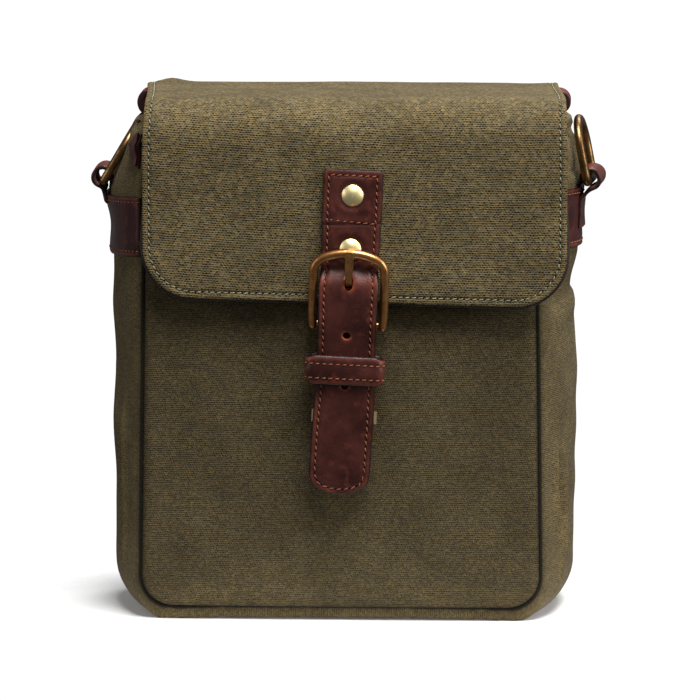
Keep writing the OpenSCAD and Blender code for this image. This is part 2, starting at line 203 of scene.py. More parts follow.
def slab(name, outer, inner, materials, fields, keep=None, inner_material=0):
    """A closed sheet between two grids of points, with walls round its border and round its holes."""
    n, m = outer.shape[:2]
    keep = np.ones((n - 1, m - 1), bool) if keep is None else keep
    i, j = np.nonzero(keep)
    a, b, c, d = i * m + j, (i + 1) * m + j, (i + 1) * m + j + 1, i * m + j + 1
    flat_out, flat_in = outer.reshape(-1, 3), inner.reshape(-1, 3)
    turn = np.cross(flat_out[b] - flat_out[a], flat_out[d] - flat_out[a])
    if np.einsum("ij,ij->", turn, flat_out[a] - flat_in[a]) < 0:
        b, d = d, b
    top = np.stack([a, b, c, d], 1)
    k = n * m
    edges = {}
    for quad in top.tolist():
        for p, q in zip(quad, quad[1:] + quad[:1]):
            if (q, p) in edges:
                del edges[(q, p)]
            else:
                edges[(p, q)] = True
    walls = [[q, p, p + k, q + k] for p, q in edges]
    faces = top.tolist() + (top[:, ::-1] + k).tolist() + walls
    mats = [0] * len(top) + [inner_material] * len(top) + [0] * len(walls)
    verts = np.concatenate([flat_out, flat_in])
    both = {key: np.concatenate([v.reshape(-1, *v.shape[2:])] * 2) for key, v in fields.items()}
    used = np.zeros(2 * k, bool)
    used[np.unique(np.array(faces).ravel())] = True
    order = np.cumsum(used) - 1
    faces = [[int(order[v]) for v in f] for f in faces]
    return make_mesh(name, verts[used], faces, materials,
                     {key: v[used] for key, v in both.items()}, mats)


def sheet_solid(name, surface, out, thick, e, materials, fields, round_r=None, relief=0.0,
                inner_material=0):
    """A sheet whose outer face is the surface, with rounded edges: e is the distance from the edge."""
    r = thick * 0.48 if round_r is None else round_r
    drop = edge_drop(e, r)
    outer = surface + out * (relief - drop)[..., None]
    inner = surface - out * (thick - edge_drop(e, thick * 0.48))[..., None]
    return slab(name, outer, inner, materials, fields, inner_material=inner_material)


THREAD_RISE, NEEDLE_R = 0.35, 0.42


def stitches(name, runs, thread, length, pitch, slant):
    """Sewn stitches along runs of (points, normals): a bowed thread in each gap, and a flat dark disc of
    painted shade for the needle hole at each end.
    """
    verts, faces, mats = [], [], []
    ring, hole_ring, radius = 6, 8, 0.33
    shape = [(-1.0, 0.0), (-0.8, 0.8), (0.0, 1.0), (0.8, 0.8), (1.0, 0.0)]
    for points, normals in runs:
        s = lengths(points)
        count = max(1, int(round(s[-1] / pitch)))
        step = s[-1] / count

        def at(q):
            p = np.array([np.interp(q, s, points[:, a]) for a in range(3)])
            return p, unit(np.array([np.interp(q, s, normals[:, a]) for a in range(3)]))

        for i in range(count):
            mid, nrm = at((i + 0.5) * step)
            ahead, _ = at((i + 0.5) * step + 0.4)
            along = unit(ahead - mid)
            side = unit(np.cross(nrm, along))
            along = along * math.cos(slant) + side * math.sin(slant)
            side = unit(np.cross(nrm, along))
            base = len(verts)
            for q, w in shape:
                centre = mid + along * q * length / 2 + nrm * (THREAD_RISE * (1 - q * q) - 0.12)
                turns = [0] if w == 0 else range(ring)
                for a in turns:
                    ang = 2 * math.pi * a / ring
                    verts.append(centre + radius * w * (side * math.cos(ang) + nrm * math.sin(ang)))
            for a in range(ring):
                b = (a + 1) % ring
                faces.append([base, base + 1 + b, base + 1 + a])
                for lev in range(2):
                    o = base + 1 + lev * ring
                    faces.append([o + a, o + b, o + ring + b, o + ring + a])
                faces.append([base + 1 + 3 * ring, base + 1 + 2 * ring + a, base + 1 + 2 * ring + b])
            mats += [0] * (4 * ring)
            # A flat dark disc at each needle hole: painted shade lying on the surface.
            mid, nrm = at(i * step)
            base = len(verts)
            verts.append(mid + nrm * 0.07)
            for a in range(hole_ring):
                ang = 2 * math.pi * a / hole_ring
                out = along * 1.1 * math.cos(ang) + side * math.sin(ang)
                verts.append(mid + nrm * 0.03 + NEEDLE_R * out)
            faces += [[base, base + 1 + a, base + 1 + (a + 1) % hole_ring] for a in range(hole_ring)]
            mats += [1] * hole_ring
    return make_mesh(name, np.array(verts), faces, [thread, HOLE_SHADE], None, mats)


# ---------- materials ----------

class Paint:
    """Builds one node material, with short calls for the nodes that repeat."""

    def __init__(self, name):
        self.mat = bpy.data.materials.new(name)
        self.mat.use_nodes = True
        self.tree = self.mat.node_tree
        self.tree.nodes.clear()

    def node(self, kind, out=0, inputs=None, **settings):
        n = self.tree.nodes.new(kind)
        for key, value in settings.items():
            setattr(n, key, value)
        for key, value in (inputs or {}).items():
            if isinstance(value, bpy.types.NodeSocket):
                self.tree.links.new(value, n.inputs[key])
            else:
                n.inputs[key].default_value = value
        return n.outputs[out]

    def math(self, op, a, b=0.0, c=0.0, clamp=False):
        return self.node("ShaderNodeMath", operation=op, use_clamp=clamp, inputs={0: a, 1: b, 2: c})

    def vec(self, op, a, b=(0, 0, 0)):
        return self.node("ShaderNodeVectorMath", operation=op, inputs={0: a, 1: b})

    def field(self, name, out="Fac"):
        return self.node("ShaderNodeAttribute", out=out, attribute_name=name)

    def noise(self, at, scale, detail=2.0, rough=0.5):
        return self.node("ShaderNodeTexNoise", out="Fac",
                         inputs={"Vector": at, "Scale": scale, "Detail": detail, "Roughness": rough})

    def ramp(self, value, lo, hi, a=0.0, b=1.0):
        return self.node("ShaderNodeMapRange", interpolation_type="SMOOTHSTEP",
                         inputs={"Value": value, "From Min": lo, "From Max": hi, "To Min": a, "To Max": b})

    def mix(self, share, a, b, mode="MIX"):
        n = self.tree.nodes.new("ShaderNodeMix")
        n.data_type, n.blend_type = "RGBA", mode
        for key, value in ((0, share), (6, a), (7, b)):
            if isinstance(value, bpy.types.NodeSocket):
                self.tree.links.new(value, n.inputs[key])
            else:
                n.inputs[key].default_value = value
        return n.outputs[2]

    def split(self, at):
        n = self.tree.nodes.new("ShaderNodeSeparateXYZ")
        self.tree.links.new(at, n.inputs[0])
        return n.outputs[0], n.outputs[1]

    def object_point(self):
        return self.node("ShaderNodeTexCoord", out="Object")

    def finish(self, color, rough, height=None, bump=0.0002, strength=1.0, **constants):
        shader = self.tree.nodes.new("ShaderNodeBsdfPrincipled")
        out = self.tree.nodes.new("ShaderNodeOutputMaterial")
        self.tree.links.new(shader.outputs[0], out.inputs[0])
        for key, value in {"Base Color": color, "Roughness": rough, **constants}.items():
            if isinstance(value, bpy.types.NodeSocket):
                self.tree.links.new(value, shader.inputs[key])
            else:
                shader.inputs[key].default_value = value
        if height is not None:
            normal = self.node("ShaderNodeBump",
                               inputs={"Height": height, "Distance": bump, "Strength": strength})
            self.tree.links.new(normal, shader.inputs["Normal"])
        return self.mat


def canvas(name, contrast=1.0, tone=1.0, thread=1.6, row_h=1.21, shift=0.5):
    """Waxed canvas: pits between threads laid like bricks, filled with painted shade, gold and grey flecks,
    rubbed folds, and painted shade where the dark field is set.
    """
    p = Paint(name)
    at = p.field("weave", "Vector")
    wobble = p.node("ShaderNodeTexNoise", out="Color", inputs={"Vector": at, "Scale": 0.2, "Detail": 1.0})
    at = p.vec("ADD", at, p.vec("MULTIPLY", p.vec("SUBTRACT", wobble, (0.5, 0.5, 0.5)), (1.0, 0.9, 0.0)))
    u, v = p.split(at)
    row = p.math("FLOOR", p.math("DIVIDE", v, row_h))
    brick = p.math("ADD", p.math("DIVIDE", u, thread), p.math("MULTIPLY", row, shift))
    fu = p.math("SUBTRACT", p.math("FRACT", brick), 0.5)
    fv = p.math("SUBTRACT", p.math("FRACT", p.math("DIVIDE", v, row_h)), 0.5)
    cell = p.node("ShaderNodeCombineXYZ", inputs={0: p.math("FLOOR", brick), 1: row, 2: 0.0})
    chance = p.node("ShaderNodeTexWhiteNoise", out="Value", noise_dimensions="2D", inputs={"Vector": cell})
    spot = p.node("ShaderNodeCombineXYZ",
                  inputs={0: p.math("DIVIDE", fu, 0.6), 1: p.math("DIVIDE", fv, 0.4)})
    far = p.node("ShaderNodeVectorMath", out="Value", operation="LENGTH", inputs={0: spot})
    # pit marks the gaps between the threads: they sink in the bump, and their near-black colour below is
    # painted shade.
    pit = p.math("MULTIPLY", p.ramp(far, 0.35, 1.1, 1.0, 0.0), p.ramp(chance, 0.0, 0.8, 0.4, 1.0))
    threads = p.noise(p.vec("MULTIPLY", at, (0.22, 0.9, 1.0)), 1.0, 1.0)
    fleck = p.noise(at, 1.3, 2.0, 0.7)
    cloud = p.noise(at, 0.03, 3.0, 0.55)
    smudge = p.noise(at, 0.11, 3.0, 0.6)
    pit_shade, mid = srgb(8, 6, 3), srgb(112, 101, 74)
    gold, grey = srgb(160, 134, 82), srgb(114, 114, 98)
    color = p.mix(p.ramp(fleck, 0.4, 0.66), mid, gold)
    grey_fleck = p.noise(p.vec("ADD", at, (31.0, 17.0, 0.0)), 0.8, 2.0)
    color = p.mix(p.ramp(grey_fleck, 0.5, 0.7, 0.0, 0.8), color, grey)
    shade = p.ramp(threads, 0.3, 0.7, 1.0 - 0.14 * contrast, 1.0 + 0.12 * contrast)
    thread_tone = p.node("ShaderNodeTexWhiteNoise", out="Value", noise_dimensions="2D",
                         inputs={"Vector": p.vec("ADD", cell, (7.0, 3.0, 0.0))})
    shade = p.math("MULTIPLY", shade, p.ramp(thread_tone, 0.0, 1.0, tone * (1.0 - 0.25 * contrast),
                                             tone * (1.0 + 0.2 * contrast)))
    shade = p.math("MULTIPLY", shade, p.ramp(cloud, 0.32, 0.68, 0.86, 1.14))
    shade = p.math("MULTIPLY", shade, p.ramp(smudge, 0.3, 0.7, 0.95, 1.05))
    wear_and_highlight = p.field("wear_and_highlight")
    rubbed = p.math("MULTIPLY", wear_and_highlight, p.ramp(fleck, 0.3, 0.65, 0.5, 1.0), clamp=True)
    color = p.mix(p.math("MULTIPLY", rubbed, 0.7), color, srgb(156, 132, 84))
    grey_shade = p.node("ShaderNodeCombineColor", inputs={0: shade, 1: shade, 2: shade})
    color = p.mix(1.0, color, grey_shade, "MULTIPLY")
    # Painted shade in the pits between the threads.
    color = p.mix(p.math("MULTIPLY", pit, 0.97 * contrast, clamp=True), color, pit_shade)
    # The dark field is painted shade: each piece sets it in its seam and stitch grooves.
    color = p.mix(p.math("MULTIPLY", p.field("dark"), 0.92, clamp=True), color, srgb(14, 11, 7))
    height = p.math("ADD", p.math("MULTIPLY", pit, -1.0), p.math("MULTIPLY", threads, 0.3))
    height = p.math("ADD", height, p.math("MULTIPLY", fleck, 0.4))
    rough = p.ramp(smudge, 0.3, 0.7, 0.78, 0.92)
    return p.finish(color, rough, height, 0.0003, 0.7, **{"Specular IOR Level": 0.14, "Sheen Weight": 0.02,
                                                          "Sheen Roughness": 0.5})


def hide(name, base, light, dark, gloss):
    """Oiled leather: pebbled grain, cloudy pull-up, rubbed and painted edges, raw orange holes, painted shade
    in the strap's crease and painted highlight on its bulge.
    """
    p = Paint(name)
    at = p.object_point()
    cloud = p.noise(at, 55.0, 4.0, 0.6)
    patch = p.noise(at, 170.0, 3.0, 0.6)
    cell = p.node("ShaderNodeTexVoronoi", out="Distance",
                  inputs={"Vector": at, "Scale": 1100.0, "Randomness": 1.0})
    pore = p.noise(at, 2600.0, 2.0)
    color = p.mix(p.ramp(cloud, 0.34, 0.66), srgb(*dark), srgb(*base))
    color = p.mix(p.ramp(patch, 0.5, 0.78, 0.0, 0.75), color, srgb(*light))
    color = p.mix(p.ramp(cell, 0.12, 0.5, 0.22, 0.0), color, srgb(30, 15, 13))
    # Rubbed wear, and on the strap a painted highlight on its bulge.
    wear_and_highlight = p.math("MULTIPLY", p.field("wear_and_highlight"), p.ramp(patch, 0.35, 0.65, 0.5, 1.1), clamp=True)
    color = p.mix(p.math("MULTIPLY", wear_and_highlight, 0.8), color, srgb(124, 62, 48))
    # Edge paint, and on the strap painted shade along its cross crease.
    color = p.mix(p.math("MULTIPLY", p.field("edge_paint_and_crease_shade"), 0.93, clamp=True), color, srgb(24, 16, 16))
    color = p.mix(p.field("raw"), color, srgb(142, 66, 36))
    height = p.math("ADD", p.math("MULTIPLY", cell, 0.55), p.math("MULTIPLY", pore, 0.3))
    height = p.math("ADD", height, p.math("MULTIPLY", patch, 0.8))
    rough = p.ramp(cloud, 0.3, 0.7, gloss - 0.05, gloss + 0.1)
    return p.finish(color, rough, height, 0.00022, 0.5, **{"Specular IOR Level": 0.27})


def metal(name, bright, worn, patina, rough_lo, rough_hi, mottling=0.55):
    """Aged brass: bright where rubbed, brown where it has toned down, with fine handling marks."""
    p = Paint(name)
    at = p.object_point()
    tone = p.noise(at, 130.0, 4.0, 0.6)
    speck = p.noise(at, 1300.0, 3.0, 0.6)
    color = p.mix(p.ramp(tone, 0.36, 0.66), srgb(*worn), srgb(*bright))
    color = p.mix(p.ramp(speck, 0.52, 0.76, 0.0, mottling), color, srgb(*patina))
    rough = p.ramp(tone, 0.3, 0.7, rough_hi, rough_lo)
    height = p.math("ADD", p.math("MULTIPLY", speck, 0.5), p.math("MULTIPLY", tone, 0.5))
    return p.finish(color, rough, height, 0.00006, 0.5, Metallic=1.0)


def thread(name, a, b):
    """Twisted sewing thread."""
    p = Paint(name)
    at = p.object_point()
    twist = p.node("ShaderNodeTexWave", out="Fac", bands_direction="DIAGONAL",
                   inputs={"Vector": at, "Scale": 420.0, "Distortion": 2.0})
    color = p.mix(p.ramp(p.noise(at, 700.0, 2.0), 0.35, 0.65), srgb(*a), srgb(*b))
    color = p.mix(p.ramp(twist, 0.2, 0.8, 0.25, 0.0), color, srgb(40, 26, 18))
    return p.finish(color, 0.7, twist, 0.00008, 0.6, **{"Specular IOR Level": 0.3})


def cloth(name, a, b, shine=0.3, rough=0.8):
    """Plain tightly woven lining, by its weave field."""
    p = Paint(name)
    at = p.field("weave", "Vector")
    u, v = p.split(at)
    turn = 2 * math.pi / 0.55
    across = p.math("SINE", p.math("MULTIPLY", u, turn))
    along = p.math("SINE", p.math("MULTIPLY", v, turn))
    weave = p.math("MULTIPLY", across, along)
    cloud = p.noise(at, 0.04, 3.0)
    grain = p.noise(at, 0.9, 2.0)
    color = p.mix(p.ramp(cloud, 0.3, 0.7), srgb(*a), srgb(*b))
    color = p.mix(p.ramp(p.math("ADD", p.math("MULTIPLY", weave, 0.3), grain), 0.3, 0.9, 0.35, 0.0), color,
                  srgb(*[c * 0.55 for c in a]))
    # The dark field is painted shade: the lining sets it darker towards the floor of the bag.
    color = p.mix(p.math("MULTIPLY", p.field("dark"), 0.8, clamp=True), color, srgb(14, 10, 9))
    return p.finish(color, rough, p.math("ADD", weave, grain), 0.00009, 0.6, **{"Specular IOR Level": shine})


def porous(name, a, b, scale):
    """Foam or pressed board."""
    p = Paint(name)
    at = p.object_point()
    cell = p.node("ShaderNodeTexVoronoi", out="Distance", inputs={"Vector": at, "Scale": scale})
    color = p.mix(p.ramp(cell, 0.1, 0.6), srgb(*a), srgb(*b))
    return p.finish(color, 0.92, cell, 0.0003, 0.8, **{"Specular IOR Level": 0.2})


def plain_dark(name):
    """The shadow inside a needle hole."""
    p = Paint(name)
    color = p.mix(p.noise(p.object_point(), 900.0), srgb(14, 10, 8), srgb(30, 20, 15))
    return p.finish(color, 0.95, **{"Specular IOR Level": 0.1})


CANVAS = canvas("canvas_waxed", tone=0.64)
# The panels' canvas has a lower tone than the flap's: painted shade for the front and back panels under the
# flap.
CANVAS_BODY_SHADED = canvas("canvas_waxed_body_shaded", contrast=0.82, tone=0.42, thread=1.3, row_h=1.0, shift=0.33)
CANVAS_SIDE = canvas("canvas_waxed_side", contrast=0.72, tone=0.6, thread=1.3, row_h=1.0, shift=0.33)
LINING = cloth("lining_twill", (120, 96, 62), (140, 114, 76))
FLAP_LINING = cloth("flap_lining_cloth", (34, 24, 22), (48, 34, 31), shine=0.4, rough=0.6)
LEATHER = hide("leather_strap", (72, 34, 28), (100, 47, 38), (48, 22, 19), gloss=0.34)
LEATHER_SIDE = hide("leather_side", (68, 31, 28), (96, 42, 37), (46, 21, 20), gloss=0.34)
LEATHER_RED = hide("leather_loop", (94, 34, 28), (122, 48, 38), (60, 22, 19), gloss=0.4)
LEATHER_RAW = hide("leather_inside", (118, 58, 34), (140, 74, 44), (84, 40, 24), gloss=0.6)
BRASS = metal("brass_antique", (208, 152, 94), (156, 108, 64), (92, 58, 34), 0.3, 0.44)
BRASS_RING = metal("brass_ring", (150, 118, 76), (100, 74, 48), (54, 38, 26), 0.3, 0.42)
PALE_BRASS = metal("brass_pale", (255, 240, 188), (250, 226, 160), (222, 188, 116), 0.4, 0.5, 0.25)
THREAD_TAN = thread("thread_tan", (150, 94, 60), (122, 70, 46))
THREAD_PALE = thread("thread_pale", (150, 150, 126), (112, 112, 88))
# Painted shade for the needle holes.
HOLE_SHADE = plain_dark("needle_hole_shade")
FOAM = porous("foam_grey", (70, 70, 72), (110, 110, 112), 900.0)
BOARD = porous("board_black", (24, 23, 22), (40, 38, 36), 1500.0)


def place(obj, body, slot, *nodes):
    """Rides a piece on a body, and hides the CAD nodes that it stands for. slot is not used."""
    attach(obj, body)
    if nodes:
        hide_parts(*nodes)
    return obj


def bend(obj, a, b, start, end, slot, *nodes):
    """Bakes a piece's place into its mesh, and hides the CAD nodes that it stands for. start and end are not
    used.
    """
    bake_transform(obj)
    if nodes:
        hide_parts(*nodes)
    return obj


# ---------- outlines of the bag ----------

def straight_half(w, h, z):
    return w / 2 + FLARE / 2 * (h - z) / (h - SEAM_Z)


def panel_half(w, h, z):
    """Half width of a panel at height z, with its round bottom corners."""
    z = np.asarray(z, float)
    low = straight_half(w, h, SEAM_Z + CORNER_R)
    depth = np.clip(SEAM_Z + CORNER_R - z, 0, CORNER_R)
    return np.where(z < SEAM_Z + CORNER_R, low - CORNER_R + np.sqrt(CORNER_R ** 2 - depth ** 2),
                    straight_half(w, h, z))


SIDE_STEPS, CORNER_STEPS, BASE_STEPS = 76, 26, 62


def seam_line(w, h, dx=0.0):
    """Points and outward normals of a panel's seam: top left, round the bottom, top right."""
    lh = straight_half(w, h, SEAM_Z + CORNER_R)
    cx, cz = lh - CORNER_R, SEAM_Z + CORNER_R

    def corner(x, start):
        turn = [start + math.pi / 2 * k / CORNER_STEPS for k in range(CORNER_STEPS + 1)]
        return [(x + CORNER_R * math.cos(a), cz + CORNER_R * math.sin(a), math.cos(a), math.sin(a))
                for a in turn]

    rows = [(-straight_half(w, h, z), z, -1, 0) for z in np.linspace(h, cz, SIDE_STEPS + 1)[:-1]]
    rows += corner(-cx, math.pi)
    rows += [(x, SEAM_Z, 0, -1) for x in np.linspace(-cx, cx, BASE_STEPS + 1)[1:-1]]
    rows += corner(cx, math.pi * 1.5)
    rows += [(straight_half(w, h, z), z, 1, 0) for z in np.linspace(cz, h, SIDE_STEPS + 1)[1:]]
    return np.array(rows) + np.array([dx, 0, 0, 0])


# Swell of each side of the gusset beyond the straight line between the seams: (height, swell)
SWELL_LEFT = [(0, 12.5), (32, 13), (70, 13.8), (100, 15.6), (131, 14.6), (160, 16.6), (185, 16.4),
              (207, 16.8), (217, 18.6), (226, 20.4), (234, 17.0), (240, 13.8), (246, 10.8), (262, 4.5)]
SWELL_RIGHT = [(0, 10.5), (32, 12), (54, 12.6), (82, 13.6), (132, 14.8), (152, 14.0), (162, 13.4),
               (175, 15.4), (190, 16.6), (207, 16.4), (224, 17.4), (234, 19.4), (244, 17.0), (252, 14),
               (262, 11)]
CREASE_RIGHT_Z = 250.5


def side_folds(side, z, t):
    """Creases and ridges of the soft sides, outwards in millimetres, and how rubbed they are."""
    if side < 0:
        ridge = bell(t, 0.17 + 0.02 * smooth(z, 90, 30), 0.028) * smooth(z, 125, 100) * smooth(z, 18, 34)
        second = bell(t, 0.34, 0.05) * smooth(z, 175, 130) * smooth(z, 40, 90)
        push = 2.2 * ridge + 1.0 * second - 1.4 * bell(t, 0.24, 0.03) * smooth(z, 110, 90) * smooth(z, 20, 40)
        rub = 1.2 * ridge
    else:
        centre = 0.145 + 0.05 * smooth(z, 74, 36)
        ridge = bell(t, centre, 0.024) * smooth(z, 100, 74) * smooth(z, 14, 26)
        outer = bell(t, 0.27, 0.03) * smooth(z, 92, 70) * smooth(z, 24, 36)
        valley = bell(t, centre + 0.055, 0.022) * smooth(z, 96, 74) * smooth(z, 20, 34)
        push = 2.2 * ridge + 2.0 * outer - 1.8 * valley
        rub = 1.3 * ridge + 1.2 * outer
        notch = bell(z, CREASE_RIGHT_Z - 10 * (t - 0.5), 2.2) * smooth(t, 0.02, 0.08) * smooth(t, 0.95, 0.6)
        fold = bell(z, 245 - 30 * t, 1.9) * smooth(t, 0.02, 0.08) * smooth(t, 0.45, 0.3)
        lip = bell(z, 240 - 30 * t, 3.0) * smooth(t, 0.0, 0.1) * smooth(t, 0.5, 0.3)
        push = push - 3.2 * notch - 1.8 * fold + 1.2 * lip
        height = z - 10 * (t - 0.5)
        push = push - 3.2 * smooth(height, 193, 174) * smooth(height, 164.5, 171) * smooth(t, 0.03, 0.25)
        push = push + 0.8 * bell(height, 161, 4) * smooth(t, 0.03, 0.25)
        push = push - 1.4 * bell(z, 166, 18) * bell(t, 0.14, 0.1)
        rub = rub + 0.5 * bell(height, 176, 7) * bell(t, 0.3, 0.16)
    push = push + 0.7 * waves(z, t * 90, 55, 2.0 + side) * smooth(t, 0, 0.12) * smooth(t, 1, 0.88)
    return push, rub


def gusset_surface(f, b, t):
    """Outer face of the gusset for a pair of seam points and shares t of the depth."""
    x = f[..., 0] + (b[..., 0] - f[..., 0]) * t
    z = f[..., 1] + (b[..., 1] - f[..., 1]) * t
    nx, nz = f[..., 2], f[..., 3]
    arc = np.sin(np.pi * np.clip(t, 0, 1))
    swell = np.where(x < 0, soft_table(z, SWELL_LEFT), soft_table(z, SWELL_RIGHT))
    left, left_rub = side_folds(-1, z, t)
    right, right_rub = side_folds(1, z, t)
    upright = nx * nx
    push = np.where(x < 0, left, right) * upright
    rub = np.where(x < 0, left_rub, right_rub) * upright
    sideways = np.abs(nx) ** 0.55 * swell * arc ** 0.7 + push
    down = np.abs(nz) ** 0.8 * ((SEAM_Z + 1) * np.minimum(1, 5.0 * arc)) * np.sign(-nz)
    arch = 1.1 * np.clip(1 - np.abs(x / 88) ** 4, 0, 1) * nz * nz
    pucker = sum(bell(x, at, 2.0) for at in (-91, -64, -20, 33, 74, 86)) * nz * nz * smooth(t, 0.3, 0.0)
    rise = np.where(x > 0, 6.5, 3.0) * arc ** 0.8 * smooth(z, 226, 256) * upright
    height = np.maximum(z - down, 0.0) + arch * (1 - smooth(z, 14, 30)) + 0.5 * pucker + rise
    y = SEAM_Y * (2 * t - 1) + 0.5 * pucker - 3.2 * bell(t, 0.06, 0.045) * nz * nz
    p = np.stack([x + np.sign(nx) * sideways, y, height], -1)
    return p, rub, pucker


def side_point(side, z, t, off):
    """A point on a side of the bag, off outside its cloth, at height z and share t of the depth."""
    def base(z, t):
        zz, tt = np.broadcast_arrays(np.asarray(z, float), np.asarray(t, float))
        f = np.stack([side * panel_half(FRONT_W, FRONT_H, zz) + FRONT_DX, zz, side + 0 * zz, 0 * zz], -1)
        b = np.stack([side * panel_half(BACK_W, BACK_H, zz), zz, side + 0 * zz, 0 * zz], -1)
        return gusset_surface(f, b, tt)[0]
    p = base(z, t)
    dz, dt = base(np.asarray(z) + 0.5, t) - p, base(z, np.asarray(t) + 0.004) - p
    n = unit(np.cross(dz, dt))
    n = n * np.sign(n[..., :1] * side + 1e-9)
    return p + n * off, n


# ---------- bag body ----------

EDGE_STEPS = np.array([0.0, 0.12, 0.4, 0.8, 1.4, 2.1, 3.0, 4.2, 6.0])


def front_y(z, u):
    """Depth of the bowed front at height z and share u of the half width."""
    v = 2 * (z - SEAM_Z) / (FRONT_H - SEAM_Z) - 1
    return -SEAM_Y - CANVAS_T - CROWN * (1 - u * u) * (1 - np.abs(v) ** 3)


def panel_grid(w, h):
    """A grid of (x, z) over a panel, tight along its edges."""
    zs = spaced(h - SEAM_Z, EDGE_STEPS, 3.0) + SEAM_Z
    zs = np.unique(np.concatenate([zs, SEAM_Z + CORNER_R * (1 - np.cos(np.linspace(0, math.pi / 2, 22)))]))
    us = spaced(2.0, EDGE_STEPS / (w / 2), 3.0 / (w / 2)) - 1
    half = panel_half(w, h, zs)
    return np.stack([us[None] * half[:, None], zs[:, None] + 0 * us[None]], -1), us


TURN_ROWS, DOWN_ROWS = 6, 3


def turned_top(grid, inner, depth):
    """Adds rows that carry a panel's top edge over, and then down inside the mouth by depth."""
    top = grid[-1]
    out = []
    for k in range(1, TURN_ROWS + DOWN_ROWS + 1):
        a = math.pi * min(1.0, k / TURN_ROWS)
        row = top + (inner - top) * (1 - math.cos(a)) / 2
        row[:, 2] = top[:, 2] + 2.2 * math.sin(a) - depth * max(0.0, (k - TURN_ROWS) / DOWN_ROWS)
        out.append(row)
    return np.concatenate([grid, np.array(out)])


def with_turned_top(surface, dom, e, top_half, side, depth, reach):
    """A panel's grids with their turned top rows. reach is the flat length of those rows."""
    top = surface[-1]
    inner = np.stack([top[:, 0] * MOUTH_X / top_half, 0 * top[:, 1] + side * MOUTH_Y, top[:, 2]], -1)
    surface = turned_top(surface, inner, depth)
    extra = len(surface) - len(dom)
    more = dom[-1:] + np.stack([np.zeros(extra), np.linspace(1, reach, extra)], -1)[:, None]
    n = normals_of(surface)
    n = n * np.where(side * n[40, :, 1].sum() > 0, 1, -1)
    return surface, n, np.concatenate([dom, more]), np.concatenate([e, np.repeat(e[-1:], extra, 0)])


def front_panel():
    """The front panel: bowed, set in behind its turned seam, with a rubbed rim."""
    dom, us = panel_grid(FRONT_W, FRONT_H)
    e = edge_distance(dom, skip=("end",))
    x, z = dom[..., 0], dom[..., 1]
    y = front_y(z, us[None]) + 3.4 * (1 - np.sqrt(1 - np.clip(1 - e / 3.4, 0, 1) ** 2))
    y = y - 0.5 * waves(x, z, 130, 5.0) * smooth(e, 2, 30) - 0.7 * bell(e, 5.5, 4.5)
    sag = smooth(z, 60, 10) * (1 - us[None] ** 2) * 0.9
    surface = np.stack([x + FRONT_DX, y - sag, z], -1)
    surface, n, dom, e = with_turned_top(surface, dom, e, 103, -1, 14.0, 24)
    wear_and_highlight = 0.55 * bell(e, 2.6, 1.5) * (0.6 + 0.4 * waves(dom[..., 0], dom[..., 1], 30, 1.0))
    wear_and_highlight = wear_and_highlight + 0.35 * bell(e, 2.4, 1.6) * smooth(dom[..., 1], 40, 10)
    # dark: painted shade in the seam groove along the panel's edge.
    dark = np.clip(0.95 * smooth(e, 1.3, 0.2) + 0.25 * smooth(e, 3.5, 1.0), 0, 1)
    fields = {"weave": weave_of(dom), "wear_and_highlight": np.clip(wear_and_highlight, 0, 1), "dark": dark}
    inner = surface - n * CANVAS_T
    obj = slab("front_panel_canvas", surface, inner, [CANVAS_BODY_SHADED], fields)
    place(obj, "bag", "canvas", "front_panel")

def back_panel():
    """The back panel: nearly flat, with rolled edges."""
    dom, _ = panel_grid(BACK_W, BACK_H)
    e = edge_distance(dom, skip=("end",))
    x, z = dom[..., 0], dom[..., 1]
    y = SEAM_Y + CANVAS_T - 3.2 * (1 - np.sqrt(1 - np.clip(1 - e / 4.5, 0, 1) ** 2))
    y = y - 0.35 * (1 + waves(x, z, 120, 9.0)) * smooth(e, 2, 30)
    surface = np.stack([x, y, z], -1)
    surface, n, dom, e = with_turned_top(surface, dom, e, 110, 1, 24.0, 34)
    # dark: painted shade in the seam groove along the panel's edge.
    fields = {"weave": weave_of(dom), "wear_and_highlight": 0.5 * bell(e, 2.6, 1.6),
              "dark": 0.95 * smooth(e, 1.1, 0.1)}
    obj = slab("back_panel_canvas", surface, surface - n * CANVAS_T, [CANVAS_BODY_SHADED], fields)
    place(obj, "bag", "canvas", "back_panel")


